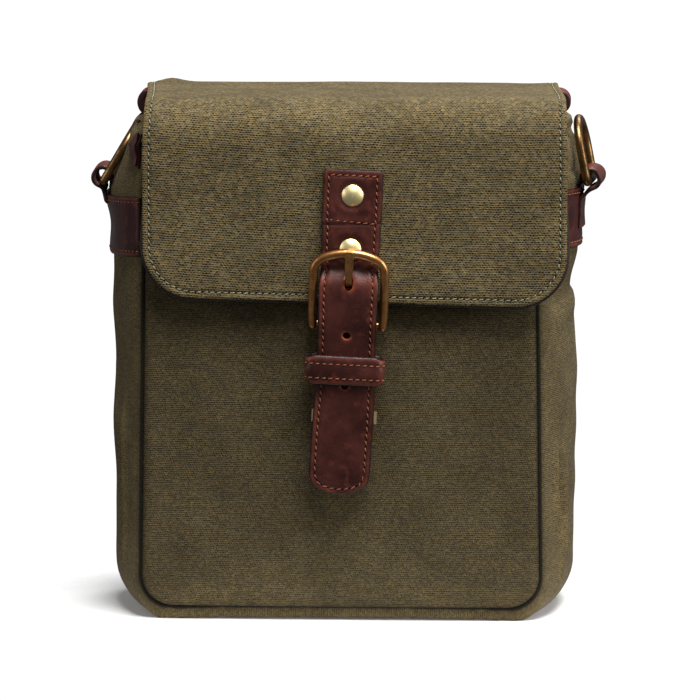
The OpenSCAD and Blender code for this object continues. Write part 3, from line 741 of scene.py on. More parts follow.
def gusset():
    """The strip between the panels, with its top edges turned over into the mouth."""
    f = seam_line(FRONT_W, FRONT_H, FRONT_DX)
    b = seam_line(BACK_W, BACK_H)
    t = 0.5 - 0.5 * np.cos(np.linspace(0, math.pi, 61))
    t = 0.55 * t + 0.45 * np.linspace(0, 1, 61)
    p, rub, pucker = gusset_surface(f[:, None], b[:, None], t[None])
    rows = []
    for side, row in ((-1, p[0]), (1, p[-1])):
        inner = np.stack([0 * t + side * MOUTH_X, np.clip(row[:, 1], -MOUTH_Y, MOUTH_Y), row[:, 2]], -1)
        rows.append(turned_top(row[None], inner, 22.0)[1:])
    surface = np.concatenate([rows[0][::-1], p, rows[1]])
    s, across = lengths(surface[:, 20]), lengths(surface[60])
    dom = flat_grid(s, across)[..., ::-1]
    n = normals_of(surface)
    n = n * np.where(n[60, 30, 0] < 0, 1, -1)
    pad = np.zeros((len(rows[0]), len(t)))
    rub = np.concatenate([pad, rub, pad])
    pucker = np.concatenate([pad, pucker, pad])
    from_seam = np.minimum(dom[..., 0], across[-1] - dom[..., 0])
    wear_and_highlight = rub + 0.3 * bell(from_seam, 5, 3.0) + 0.2 * pucker
    wear_and_highlight = wear_and_highlight + 0.25 * smooth(waves(dom[..., 0], dom[..., 1], 26, 4.0), 0.2, 0.9)
    # dark: painted shade in the seam grooves along both edges.
    dark = 0.95 * smooth(from_seam, 2.8, 0.8) + 0.4 * smooth(from_seam, 7.0, 1.5)
    fields = {"weave": weave_of(dom), "wear_and_highlight": np.clip(wear_and_highlight, 0, 1),
              "dark": np.clip(dark, 0, 1)}
    obj = slab("gusset_canvas", surface, surface - n * CANVAS_T, [CANVAS_SIDE], fields)
    place(obj, "bag", "canvas", "gusset_left", "gusset_base", "gusset_right")


def lining():
    """The open inner bag, from the middle of its floor out and up to the mouth."""
    half_x, half_y, floor_z, top_z, r = 98.2, 42.9, 10.0, 244.0, 12.0
    turns = 160
    ring = []
    for k in range(turns + 1):
        a = 2 * math.pi * k / turns
        c, s = math.cos(a), math.sin(a)
        q = (abs(c) ** 8 + abs(s) ** 8) ** (-1 / 8)
        ring.append((half_x * c * q, half_y * s * q))
    ring = np.array(ring)
    rows = []
    around = lengths(ring)
    for k in range(12):
        share = 0.02 + 0.93 * k / 11
        rows.append(np.concatenate([ring * share, np.full((turns + 1, 1), floor_z)], 1))
    for k in range(6):
        a = math.pi / 2 * (k + 1) / 6
        rows.append(np.concatenate([ring * (0.95 + 0.05 * math.sin(a)),
                                    np.full((turns + 1, 1), floor_z + r * (1 - math.cos(a)))], 1))
    for z in np.linspace(floor_z + r, top_z, 40)[1:]:
        rows.append(np.concatenate([ring, np.full((turns + 1, 1), z)], 1))
    surface = np.array(rows)
    z = surface[..., 2]
    pull = 0.5 * (1 + waves(around[None], z, 48, 3.0)) * smooth(z, 14, 60) * smooth(z, 244, 200)
    surface[..., :2] *= (1 - pull / 60)[..., None]
    dom = flat_grid(lengths(surface[:, 40]), around)[..., ::-1]
    n = normals_of(surface)
    n = n * np.sign(n[-5, 0, 0])
    # dark: painted shade deep in the bag, darker towards its floor.
    fields = {"weave": weave_of(dom), "dark": 0.6 * smooth(z, 60, 10)}
    obj = slab("lining_bag", surface, surface - n * 0.8, [LINING], fields)
    place(obj, "bag", "lining", "lining")


# ---------- side leather ----------

BAND_SAG = {-1: lambda t: -3.0 * np.sin(np.pi * t), 1: lambda t: 3.4 - 3.0 * t}


def side_band(side):
    """The leather band round the upper side, sewn along both long edges."""
    name = "left" if side < 0 else "right"
    cols = spaced(BAND_Z[1] - BAND_Z[0], np.array([0, 0.1, 0.35, 0.9, 1.7, 2.6, 3.4, 4.4]), 2.5) + BAND_Z[0]
    t = np.linspace(0.008, 0.992, 70)
    shift = BAND_SAG[side](t)
    surface, n = side_point(side, cols[None] + shift[:, None], t[:, None], 2.2)
    dom = flat_grid(lengths(surface[:, 8]), cols)
    e = edge_distance(dom)
    relief = -0.35 * bell(e, 2.8, 0.7) * (np.minimum(cols - BAND_Z[0], BAND_Z[1] - cols)[None] < 5)
    relief = relief + 0.25 * waves(dom[..., 0], dom[..., 1], 30, 6.0 + side)
    fields = {"wear_and_highlight": 0.6 * bell(e, 1.2, 0.9), "edge_paint_and_crease_shade": smooth(e, 0.55, 0.15), "raw": 0 * e}
    obj = sheet_solid(f"side_band_{name}_leather", surface, n, 1.9, e, [LEATHER_SIDE], fields, relief=relief)
    place(obj, "bag", "leather", f"side_band_{name}")
    runs = [side_point(side, z + shift, t, 2.05) for z in (BAND_Z[0] + 2.8, BAND_Z[1] - 2.8)]
    place(stitches(f"side_band_{name}_stitches", runs, THREAD_TAN, 2.6, 3.7, 0.12), "bag", "leather")


def strip_along(path, half, side, waviness=0.0):
    """The face of a flat leather strip bent along a path of points in X and Z, and what belongs to it."""
    path = np.array(path, float)
    along = lengths(path)
    fine = np.linspace(0, along[-1], int(along[-1] / 0.6) + 2)
    line = relaxed(points_at(fine, along, path), 6)
    across = spaced(2 * half, np.array([0, 0.1, 0.3, 0.8, 1.6]), 1.6) - half
    surface = np.stack([side * line[:, None, 0] + 0 * across[None], across[None] + 0 * line[:, None, 0],
                        line[:, None, 1] + 0 * across[None]], -1)
    dom = flat_grid(fine, across)
    e = edge_distance(dom)
    relief = waviness * waves(dom[..., 0], dom[..., 1], 14, 3.0 + side)
    fields = {"wear_and_highlight": 0.55 * bell(e, 1.0, 0.8), "edge_paint_and_crease_shade": smooth(e, 0.6, 0.2), "raw": 0 * e}
    return surface, normals_of(surface), e, fields, relief


# How far the right ring and its loop turn about the upright, as a slope
RING_YAW = 0.1


def tube(name, points, radius, ring, material, axis=(0.0, 1.0, 0.02)):
    """A round wire through the points, with round ends."""
    points = np.asarray(points, float)
    d = unit(np.gradient(points, axis=0))
    start = [points[0] - d[0] * radius * math.cos(a) for a in np.linspace(0.15, math.pi / 2, 6)[:-1]]
    end = [points[-1] + d[-1] * radius * math.sin(a) for a in np.linspace(0, math.pi / 2 - 0.15, 6)[1:]]
    line = np.concatenate([start, points, end])
    scale = np.concatenate([np.sin(np.linspace(0.15, math.pi / 2, 6)[:-1]), np.ones(len(points)),
                            np.cos(np.linspace(0, math.pi / 2 - 0.15, 6)[1:])]) * radius
    d = unit(np.gradient(line, axis=0))
    side = np.cross(d, unit(np.array(axis)))
    side = unit(side)
    up = np.cross(side, d)
    a = 2 * math.pi * np.arange(ring) / ring
    verts = line[:, None] + scale[:, None, None] * (side[:, None] * np.cos(a)[None, :, None]
                                                    + up[:, None] * np.sin(a)[None, :, None])
    n = len(line)
    faces = [[i * ring + k, i * ring + (k + 1) % ring, (i + 1) * ring + (k + 1) % ring, (i + 1) * ring + k]
             for i in range(n - 1) for k in range(ring)]
    faces += [list(range(ring))[::-1], [(n - 1) * ring + k for k in range(ring)]]
    return make_mesh(name, verts.reshape(-1, 3), faces, [material])


def ring_right():
    """The right D-ring, turned a little so that its rear leg shows outside the front one."""
    lean = math.radians(11)
    pts = [(16 * math.cos(a), 17 + 16 * math.sin(a)) for a in np.linspace(math.pi, 0, 40)]
    pts = [(-16, h) for h in np.linspace(0, 15.5, 8)] + pts + [(16, h) for h in np.linspace(15.5, 0, 8)]
    pts = [(16, 0.0)] + [(y, 0.0) for y in np.linspace(14, -14, 12)] + pts
    pts = relaxed(np.array(pts), 2)
    x = RING_X - np.sin(lean) * pts[:, 1] + RING_YAW * (pts[:, 0] + 16)
    wire = np.stack([x, pts[:, 0], RING_Z + np.cos(lean) * pts[:, 1]], -1)
    obj = tube("ring_right_wire", wire, 2.3, 16, BRASS_RING, axis=(1.0, 0.01, 0.0))
    place(obj, "ring_right", "antique_brass", "dring_right")


def buckle():
    """The buckle's bent wire, its two round-ended legs, and the bar behind the strap."""
    lean = math.atan2(BAR_Y - BUCKLE_TOP[0], BUCKLE_TOP[1] - BAR_Z)
    reach = math.hypot(BUCKLE_TOP[0] - BAR_Y, BUCKLE_TOP[1] - BAR_Z)
    arch_r, bend_r, leg = 34.0, 9.0, 18.6
    drop = arch_r - math.sqrt((arch_r - bend_r) ** 2 - (leg - bend_r) ** 2)
    turn = math.asin((leg - bend_r) / (arch_r - bend_r))
    half = [(leg - 0.5 * (1 - k / 5), -0.8 + 6.8 * k / 5) for k in range(6)]
    half += [(leg, h) for h in np.linspace(7.5, reach - drop, 10)[:-1]]
    half += [(leg - bend_r + bend_r * math.cos(a), reach - drop + bend_r * math.sin(a))
             for a in np.linspace(0, math.pi / 2 - turn, 10)]
    half += [(arch_r * math.sin(a), reach - arch_r + arch_r * math.cos(a))
             for a in np.linspace(turn, 0, 8)[1:]]
    half = np.array(half)
    loop = np.concatenate([half, half[-2::-1] * [-1, 1]])

    def to_bag(x, out, h):
        y = BAR_Y - h * math.sin(lean) + out
        return on_strap(np.stack([x, y, BAR_Z + h * math.cos(lean)], -1))

    frame_wire = tube("buckle_wire", to_bag(loop[:, 0], 0.0, loop[:, 1]), 2.35, 18, BRASS)
    place(frame_wire, "buckle", "antique_brass", "buckle_frame")
    x = np.linspace(-leg + 2.6, leg - 2.6, 12)
    bar = tube("buckle_bar", to_bag(x, 0.5, 0 * x), 1.7, 12, BRASS)
    place(bar, "buckle", "antique_brass")


def ring_tab(side):
    """The leather loop that holds a D-ring: rolled round the ring's bar, its tail sewn to the band."""
    name = "left" if side < 0 else "right"
    tail_z = 216.5 if side < 0 else 204.5
    r = LOOP_R + TAB_T
    
    def on_band(z, y):
        return np.abs(side_point(side, z, 0.5 + y / (2 * SEAM_Y), 2.4)[0][..., 0])

    path = [(float(on_band(z, 0.0)) + 1.6, z) for z in np.linspace(tail_z, 220.0, 6)]
    for a in np.radians(-84 + 292 * np.arange(21) / 20):
        path.append((LOOP_X + r * math.cos(a), LOOP_Z + r * math.sin(a) * (1.08 if math.sin(a) > 0 else 1.0)))
    surface, n, e, fields, relief = strip_along(path, TAB_HALF, side, waviness=0.2)
    n = n * np.sign(n[3, 10, 0] * side)
    z, y = surface[..., 2], surface[..., 1]
    first = np.arange(len(z)) < np.argmax(np.abs(surface[:, 0, 0]))
    flat = smooth(z, 225, 219) * first[:, None]
    thick = 2.3 - 1.1 * flat
    surface[..., 0] += side * flat * (on_band(np.minimum(z, 222.0), y) + 1.3 - np.abs(surface[..., 0]))
    if side > 0:
        surface[..., 0] += RING_YAW * (y + 16) * (1 - flat)
    end = smooth(np.arange(len(z)), len(z) - 30, len(z) - 8)[:, None]
    fields["raw"] = 0.75 * smooth(e, 0.5, 1.4) * end
    fields["wear_and_highlight"] = fields["wear_and_highlight"] + 0.3 * (1 - flat)
    obj = sheet_solid(f"ring_tab_{name}_leather", surface, n, thick, e, [LEATHER_SIDE, LEATHER_RAW], fields,
                      relief=relief, inner_material=1)
    place(obj, "bag", "leather", f"ring_tab_{name}")


def corner_tab(side):
    """A small folded leather loop that stands out at the top back corner."""
    name = "left" if side < 0 else "right"
    cx, cz, rx, rz = (107.6, 267.2, 5.2, 6.7) if side < 0 else (112.4, 268.2, 6.4, 6.3)
    path = [(cx - 5.0, cz - rz)]
    for a in np.radians(-90 + 180 * np.arange(19) / 18):
        path.append((cx + rx * math.cos(a), cz + rz * math.sin(a)))
    path.append((cx - 5.0, cz + rz))
    surface, n, e, fields, _ = strip_along(path, 9.5, side)
    n = n * np.sign(n[len(n) // 2, 6, 0] * side)
    surface[..., 1] += 30
    fields["wear_and_highlight"] = fields["wear_and_highlight"] + 0.35
    obj = sheet_solid(f"corner_tab_{name}_leather", surface, n, 4.6, e, [LEATHER_RED], fields, round_r=0.8)
    place(obj, "bag", "leather", f"corner_tab_{name}")


def side_tab():
    """A small leather bit in two layers on the outside of the left side, close to the flap."""
    middle = 247.0
    for layer, (low, high, wide) in enumerate(((238.5, 257.0, 0.13), (239.8, 257.6, 0.1))):
        zs = spaced(high - low, np.array([0, 0.1, 0.4, 1.0, 2.0]), 1.2) + low
        t = spaced(wide, np.array([0, 0.1, 0.4, 1.0, 2.0]) / 96, 0.012) + 0.03
        squeeze = 1 - 5.2 * (t[None] - 0.03)
        z = middle + (zs[:, None] - middle) * squeeze
        surface, n = side_point(-1, z, t[None], 1.6 + 1.9 * layer)
        surface = surface + n * (1.5 * bell(zs, 251, 3.5)[:, None, None])
        dom = flat_grid(zs, 96 * t)
        e = edge_distance(dom)
        fields = {"wear_and_highlight": 0.6 * bell(e, 1.0, 0.8), "edge_paint_and_crease_shade": smooth(e, 0.5, 0.2), "raw": 0 * e}
        obj = sheet_solid(f"side_tab_{layer}_leather", surface, n, 1.8, e, [LEATHER_SIDE], fields,
                          relief=0.25 * waves(dom[..., 0], dom[..., 1], 9, 2.0))
        place(obj, "bag", "leather")


# ---------- flap ----------

SHOULDER_Y = FLAP_FRONT_Y + SHOULDER_R


def flap_path():
    """The flap's middle line as (y, z), from its sewn root over the top and down, and its normals."""
    pts = [(51.6, 238.0), (51.5, 250.0), (51.2, 259.0)]
    cy, cz = HINGE_Y - BACK_R, FLAP_TOP_Z - BACK_R
    for a in np.linspace(0, math.pi / 2, 13):
        pts.append((cy + BACK_R * math.cos(a), cz + BACK_R * math.sin(a)))
    for y in np.linspace(cy, SHOULDER_Y, 12)[1:-1]:
        pts.append((y, FLAP_TOP_Z))
    for a in np.linspace(math.pi / 2, math.pi, 15):
        pts.append((SHOULDER_Y + SHOULDER_R * math.cos(a),
                    FLAP_TOP_Z - SHOULDER_R + SHOULDER_R * math.sin(a)))
    for z in np.linspace(FLAP_TOP_Z - SHOULDER_R, 160, 12)[1:]:
        pts.append((FLAP_FRONT_Y, z))
    pts = np.array(pts)
    s = lengths(pts)
    fine = np.arange(0, s[-1], 0.5)
    line = relaxed(points_at(fine, s, pts), 40)
    d = unit(np.gradient(line, axis=0))
    return fine, line, np.stack([d[:, 1], -d[:, 0]], 1)


FLAP_S, FLAP_LINE, FLAP_OUT = flap_path()


def flap_s(y=None, z=None):
    """Length along the flap at a depth on its top, or at a height on its front."""
    front = FLAP_S > FLAP_S[np.argmin(np.abs(FLAP_LINE[:, 0]))]
    if y is not None:
        flat = FLAP_LINE[:, 1] > FLAP_TOP_Z - 0.8
        return float(np.interp(-y, -FLAP_LINE[flat, 0], FLAP_S[flat]))
    return float(np.interp(-z, -FLAP_LINE[front, 1], FLAP_S[front]))


FLAP_SPLIT_S = flap_s(y=-16.0)
SHOULDER_S = flap_s(y=SHOULDER_Y)
REAR_S = flap_s(y=HINGE_Y - BACK_R)
FLAP_END_S = (flap_s(z=FLAP_EDGE_Z[0]), flap_s(z=FLAP_EDGE_Z[1]))


def flap_centre(s):
    """Sideways place of the flap's middle: it hangs askew at the front."""
    return BACK_SHIFT + (FLAP_SHIFT - BACK_SHIFT) * smooth(s, REAR_S - 24, SHOULDER_S + 14)


def flap_point(x, s, depth):
    """A point depth under the flap's outer face, with the cloth's own unevenness, and its normal."""
    y = np.interp(s, FLAP_S, FLAP_LINE[:, 0])
    z = np.interp(s, FLAP_S, FLAP_LINE[:, 1])
    ny = np.interp(s, FLAP_S, FLAP_OUT[:, 0])
    nz = np.interp(s, FLAP_S, FLAP_OUT[:, 1])
    n = np.stack([0 * y, ny, nz], -1)
    free = smooth(s, 30, 60)
    lift = (0.45 * waves(x, s, 95, 7.0) + 0.2 * waves(x, s, 40, 2.0)) * free
    lift = lift + 1.9 * bell(x, -95.5, 7.0) * bell(s, REAR_S - 3, 7.0)
    lift = lift - 0.9 * smooth(flap_centre(s) - x, 98, 111) * bell(s, REAR_S, 14)
    lift = lift - 0.5 * bell(x, 95, 10) * bell(s, REAR_S + 4, 14)
    hang = smooth(s, SHOULDER_S + 30, FLAP_END_S[0])
    lift = lift + 0.8 * hang * (np.abs(x - FLAP_SHIFT) / FLAP_HALF) ** 2
    draw = 1 - 0.008 * smooth(s, SHOULDER_S + 52, SHOULDER_S - 4) * smooth(s, REAR_S - 20, REAR_S + 20)
    x = flap_centre(s) + (x - flap_centre(s)) * draw
    p = np.stack([x + 0 * y, y, z], -1) + n * (lift - depth)[..., None]
    return p, n


FLAP_EDGE_STEPS = np.array([0.0, 0.1, 0.3, 0.7, 1.2, 1.9, 2.6, 3.1, 3.6, 4.1, 4.7, 5.8, 7.5])


def flap_grid(first, last, inset, to_edge):
    """A flat grid of (x, s) over part of the flap, from first to last or down to its rounded edge."""
    half, r = FLAP_HALF - inset, FLAP_CORNER_R - inset
    ends = (FLAP_END_S[0] - inset, FLAP_END_S[1] - inset)
    share = spaced(2 * half, FLAP_EDGE_STEPS, 3.0) / (2 * half)
    low_step = ends[0] - r if to_edge else last
    rows = [(s, flap_centre(s) - half, s, flap_centre(s) + half) for s in np.arange(first, low_step, 2.5)]
    if not to_edge:
        rows.append((last, flap_centre(last) - half, last, flap_centre(last) + half))
    else:
        for a in np.linspace(0, math.pi / 2, 34):
            rows.append((ends[0] - r + r * math.sin(a), FLAP_SHIFT - half + r - r * math.cos(a),
                         ends[1] - r + r * math.sin(a), FLAP_SHIFT + half - r + r * math.cos(a)))
    rows = np.array(rows)
    s = rows[:, 0:1] + (rows[:, 2:3] - rows[:, 0:1]) * share[None]
    x = rows[:, 1:2] + (rows[:, 3:4] - rows[:, 1:2]) * share[None]
    return np.stack([x, s], -1)


def sharp_row(obj, s):
    """Keeps the shading of a sheet's faces apart from its end wall at length s."""
    mesh = obj.data
    weave = np.empty(len(mesh.vertices) * 3)
    mesh.attributes["weave"].data.foreach_get("vector", weave)
    at_end = np.abs(weave.reshape(-1, 3)[:, 2] - s) < 1e-3
    pairs = np.empty(len(mesh.edges) * 2, np.int32)
    mesh.edges.foreach_get("vertices", pairs)
    pairs = pairs.reshape(-1, 2)
    sharp = at_end[pairs[:, 0]] & at_end[pairs[:, 1]]
    mesh.attributes.new("sharp_edge", "BOOLEAN", "EDGE").data.foreach_set("value", sharp)
    return obj


def flap_weave(dom):
    """The weave's own grid on the flap, its rows a little aslope. The third value keeps the length."""
    x, s = dom[..., 0], dom[..., 1]
    return np.stack([x, s - 0.033 * x + 0.0002 * x * x, s], -1)


def flap_canvas(name, first, last, to_edge, skip):
    """One of the flap's two outer sheets, with its stitch groove, painted shade in that groove, and rubbed
    folds.
    """
    dom = flap_grid(first, last, 0.0, to_edge)
    surface, n = flap_point(dom[..., 0], dom[..., 1], np.zeros(dom.shape[:2]))
    e = edge_distance(dom, skip=skip)
    relief = -0.42 * bell(e, 3.5, 0.75) + 0.22 * bell(e, 1.9, 0.9) + 0.12 * bell(e, 5.4, 1.2)
    rub = 0.5 + 0.5 * waves(dom[..., 0], dom[..., 1], 22, 3.0)
    wear_and_highlight = 0.75 * smooth(e, 3.4, 1.0) * (0.55 + 0.45 * rub) + 0.3 * bell(e, 5.2, 1.6) * rub
    top = bell(dom[..., 1], REAR_S, 13) * 0.35 + bell(dom[..., 1], SHOULDER_S, 30) * 0.12
    wear_and_highlight = wear_and_highlight + top * (0.6 + 0.4 * waves(dom[..., 0], dom[..., 1], 60, 8.0))
    # dark: painted shade in the stitch groove.
    fields = {"weave": flap_weave(dom), "wear_and_highlight": np.clip(wear_and_highlight, 0, 1), "dark": 0.35 * bell(e, 3.5, 0.6)}
    obj = sheet_solid(name, surface, n, FLAP_CLOTH_T, e, [CANVAS], fields, relief=relief)
    return sharp_row(obj, FLAP_SPLIT_S), dom


def flap_lining(name, first, last, to_edge, skip):
    """One of the flap's two linings. The front one shows a little past the canvas at its lower edge."""
    inset = -1.3 if to_edge else 0.3
    dom = flap_grid(first, last, inset, to_edge)
    if to_edge:
        free = smooth(dom[..., 1], FLAP_END_S[0] - 60, FLAP_END_S[0] - 30)
        squeeze = (FLAP_HALF - 0.4) / (FLAP_HALF + 1.3)
        centre = flap_centre(dom[..., 1])
        dom[..., 0] = centre + (dom[..., 0] - centre) * (squeeze + (1 - squeeze) * free)
    surface, n = flap_point(dom[..., 0], dom[..., 1], np.full(dom.shape[:2], FLAP_CLOTH_T + 0.05))
    e = edge_distance(dom, skip=skip)
    fields = {"weave": flap_weave(dom), "dark": 0 * e}
    obj = sheet_solid(name, surface, n, FLAP_LINING_T, e, [FLAP_LINING], fields)
    return sharp_row(obj, FLAP_SPLIT_S), dom


def flap_stitch_run(points):
    """Turns a line of (x, s) on the flap into points and normals."""
    x, s = every_mm(points)
    return flap_point(x, s, np.full(len(x), 0.28))


def flap_seams():
    """The flap's topstitching, as lines of (x, s): those of its crown, and the one round its drop."""
    inset = 3.5
    half, r = FLAP_HALF - inset, FLAP_CORNER_R - inset
    crown = [[(flap_centre(s) + side * half, s) for s in np.arange(inset, FLAP_SPLIT_S + 0.1, 4)]
             for side in (-1, 1)]
    crown += [[(BACK_SHIFT - half, s), (BACK_SHIFT + half, s)] for s in (inset, 12.0)]
    bend_s = FLAP_END_S[0] - FLAP_CORNER_R
    drop = [(flap_centre(s) - half, s) for s in np.arange(FLAP_SPLIT_S, bend_s, 4)]
    for side, end, turn in ((-1, FLAP_END_S[0], (0, math.pi / 2)), (1, FLAP_END_S[1], (math.pi / 2, 0))):
        drop += [(FLAP_SHIFT + side * (half - r + r * math.cos(a)), end - inset - r + r * math.sin(a))
                 for a in np.linspace(*turn, 12)]
    drop += [(flap_centre(s) + half, s) for s in np.arange(bend_s, FLAP_SPLIT_S, -4)]
    return crown, [drop]


def flap():
    """The flap: a crown sewn to the back panel and a drop that hangs in front, each with its lining."""
    crown, crown_dom = flap_canvas("flap_crown_canvas", 0.0, FLAP_SPLIT_S, False, ("end",))
    drop, drop_dom = flap_canvas("flap_drop_canvas", FLAP_SPLIT_S, None, True, ("start",))
    crown_in, crown_in_dom = flap_lining("flap_crown_lining_cloth", 24.0, FLAP_SPLIT_S, False, ("end",))
    drop_in, drop_in_dom = flap_lining("flap_drop_lining_cloth", FLAP_SPLIT_S, None, True, ("start",))
    crown_thread, drop_thread = (
        stitches(f"flap_{part}_stitches", [flap_stitch_run(line) for line in lines], THREAD_PALE, 2.7, 3.5,
                 0.22)
        for part, lines in zip(("crown", "drop"), flap_seams()))
    root = ((0, 51.5, HINGE_Z - 6), (0, 51.5, HINGE_Z + 6))
    bendline = ((0, SHOULDER_Y + 8, FLAP_TOP_Z), (0, SHOULDER_Y - 8, FLAP_TOP_Z))
    bend(crown, "bag", "flap_top", *root, "canvas", "flap_crown", "flap_anchor")
    bend(crown_in, "bag", "flap_top", *root, "flap_lining", "flap_crown_lining")
    bend(crown_thread, "bag", "flap_top", *root, "canvas")
    bend(drop, "flap_top", "flap_front", *bendline, "canvas", "flap_drop")
    bend(drop_in, "flap_top", "flap_front", *bendline, "flap_lining", "flap_drop_lining")
    bend(drop_thread, "flap_top", "flap_front", *bendline, "canvas")


# ---------- strap and keeper ----------

def on_strap(p):
    """From the strap's own upright place to its slanted place on the flap."""
    x, y, z = p[..., 0], p[..., 1], p[..., 2] - STRAP_TOP_Z
    x = x - 1.1 * smooth(p[..., 2], 126, 78)
    c, s = math.cos(STRAP_SLANT), math.sin(STRAP_SLANT)
    return np.stack([STRAP_X + x * c + z * s, y, STRAP_TOP_Z - x * s + z * c], -1)


# Rear face of the strap as (height, depth): on the flap, out over the prong, and down to the tip
STRAP_LINE = [(241.2, -62.2), (213, -62.2), (196, -62.2), (191.5, -62.3), (188, -63.2), (184, -65.7),
              (180.5, -67.3), (176, -67.8), (164, -67.7), (160, -67.2), (152, -65.0), (144, -63.5),
              (112, -63.5), (87, -62.5), (70.2, -61.0)]


def strap_path():
    """The strap's rear face as lengths, (y, z) points and normals."""
    pts = np.array([(y, z) for z, y in STRAP_LINE])
    s = lengths(pts)
    fine = np.linspace(0, s[-1], int(s[-1] / 0.5) + 1)
    line = relaxed(points_at(fine, s, pts), 12)
    d = unit(np.gradient(line, axis=0))
    return fine, line, np.stack([d[:, 1], -d[:, 0]], 1)


STRAP_S, STRAP_REAR, STRAP_OUT = strap_path()
STRAP_LEN = STRAP_S[-1]


def strap_s(z):
    """Length along the strap at a height."""
    return float(np.interp(-z, -STRAP_REAR[:, 1], STRAP_S))


def strap_half(s):
    """Half width of the strap: full where it is sewn down, drawn in at the crease."""
    z = np.interp(s, STRAP_S, STRAP_REAR[:, 1])
    return (STRAP_HALF - 0.35 * smooth(z, SWING_Z + 1, SWING_Z - 2) - 0.7 * bell(z, 191, 6)
            + 0.3 * bell(z, 176, 10) + 0.7 * smooth(z, 140, 100))


def strap_face(x, s, above):
    """A point above the strap's rear face, in its own upright place, and its normal."""
    y = np.interp(s, STRAP_S, STRAP_REAR[:, 0])
    z = np.interp(s, STRAP_S, STRAP_REAR[:, 1])
    ny = np.interp(s, STRAP_S, STRAP_OUT[:, 0])
    nz = np.interp(s, STRAP_S, STRAP_OUT[:, 1])
    sign = np.sign(-ny)
    n = np.stack([0 * y + 0 * x, ny * sign + 0 * x, nz * sign + 0 * x], -1)
    return np.stack([x + 0 * y, y + 0 * x, z + 0 * x], -1) + n * np.asarray(above)[..., None], n


TIP_R, TIP_CORNER, TAIL = 23.0, 4.0, 18.0
SEAM_INSET = 3.0
END_HALF = strap_half(STRAP_LEN)


def tip_rise(x):
    """How far the rounded tip has drawn back at x from the middle."""
    return TIP_R - np.sqrt(TIP_R ** 2 - x ** 2)


def strap_grid():
    """A flat grid of (x, s) over the strap, with its soft top corners and rounded tip."""
    steps = np.array([0.0, 0.12, 0.4, 0.9, 1.5, 2.2, 2.7, 3.1, 3.6, 4.3])
    share = spaced(2.0, steps / STRAP_HALF, 0.9 / STRAP_HALF) - 1
    straight_end = STRAP_LEN - TAIL
    rows = spaced(STRAP_LEN, np.array([0.0, 0.12, 0.4, 0.9, 1.6, 2.4, 3.2]), 0.8)
    rows = rows[rows < straight_end]
    x = share[None] * strap_half(rows)[:, None]
    blend_rows = smooth(rows, straight_end - 20, straight_end)[:, None]
    x = x * (1 - blend_rows) + share[None] * END_HALF * blend_rows
    top_corner = np.clip(2.0 - rows, 0, 2.0)[:, None]
    x = x * (1 - (2.0 - np.sqrt(4.0 - top_corner ** 2)) / STRAP_HALF)
    tail = 1 - (1 - np.linspace(0, 1, 30)) ** 1.5
    x_end = share * END_HALF
    over = np.clip(np.abs(x_end) - (END_HALF - TIP_CORNER), 0, TIP_CORNER)
    s_end = STRAP_LEN - tip_rise(x_end) - (TIP_CORNER - np.sqrt(TIP_CORNER ** 2 - over ** 2))
    s_tail = straight_end + (s_end[None] - straight_end) * tail[:, None]
    return np.stack([np.concatenate([x, np.repeat(x_end[None], len(tail) - 1, 0)]),
                     np.concatenate([rows[:, None] + 0 * share[None], s_tail[1:]])], -1)


def cell_corners(cut, join, start):
    """Which grid points have any, or all, of their cells in cut, by the way that join combines them."""
    found = np.full((cut.shape[0] + 1, cut.shape[1] + 1), start)
    for di in (0, 1):
        for dj in (0, 1):
            part = found[di:di + cut.shape[0], dj:dj + cut.shape[1]]
            part[...] = join(part, cut)
    return found


def punch(dom):
    """Cuts holes in the strap's grid. Returns the moved grid, cells kept, rims, and distances to a hole."""
    keep = np.ones((dom.shape[0] - 1, dom.shape[1] - 1), bool)
    mid = (dom[:-1, :-1] + dom[1:, 1:]) / 2
    s = dom[..., 1]
    raw = np.zeros(s.shape)
    from_hole = np.full(s.shape, 99.0)
    for high, low in (HOLE_Z[:2], HOLE_Z[2:3] * 2, HOLE_Z[3:] * 2):
        lo, hi = strap_s(high), strap_s(low)
        centre = np.stack([0 * s, np.clip(s, lo, hi)], -1)
        away = np.linalg.norm(dom - centre, axis=-1)
        mid_centre = np.stack([0 * mid[..., 1], np.clip(mid[..., 1], lo, hi)], -1)
        cut = np.linalg.norm(mid - mid_centre, axis=-1) < HOLE_R
        keep &= ~cut
        rim = cell_corners(cut, np.logical_or, False) & ~cell_corners(cut, np.logical_and, True)
        aim = centre + (dom - centre) * (HOLE_R / np.maximum(away, 0.2))[..., None]
        dom = np.where(rim[..., None], aim, dom)
        from_hole = np.minimum(from_hole, np.maximum(away - HOLE_R, 0))
        raw = np.maximum(raw, rim.astype(float))
    return dom, keep, raw, from_hole


def strap_relief(x, s, z, e, from_hole):
    """Dents round the caps and holes, the stitch grooves, the cross crease and the wrinkles."""
    dip = np.zeros(x.shape)
    for cz in CAP_Z:
        away = np.hypot(x, s - strap_s(cz))
        dip = dip - 0.45 * bell(away, CAP_R + 0.6, 1.5)
        dip = dip + 0.25 * bell(away, CAP_R + 3.4, 1.6)
    groove = -0.38 * bell(e, 3.0, 0.65) * (z > 66) + 0.1 * bell(e, 4.4, 0.9)
    cross = -0.55 * bell(z, SWING_Z + 0.06 * x, 0.5) + 0.12 * bell(z, SWING_Z + 2.2 + 0.06 * x, 1.0)
    pillow = 0.35 * np.clip(1 - (x / STRAP_HALF) ** 2, 0, 1)
    wrinkle = 0.35 * bell(z, 195.5, 1.6) * waves(x, z, 26, 1.0) + 0.3 * waves(x, z, 9, 4.0) * bell(z, 190, 7)
    wrinkle = wrinkle - 0.25 * bell(z, 199 + 0.1 * x, 1.0) + 0.1 * waves(x, z, 16, 2.0)
    return dip + groove + cross + pillow + wrinkle - 0.3 * bell(from_hole, 0.0, 1.3)


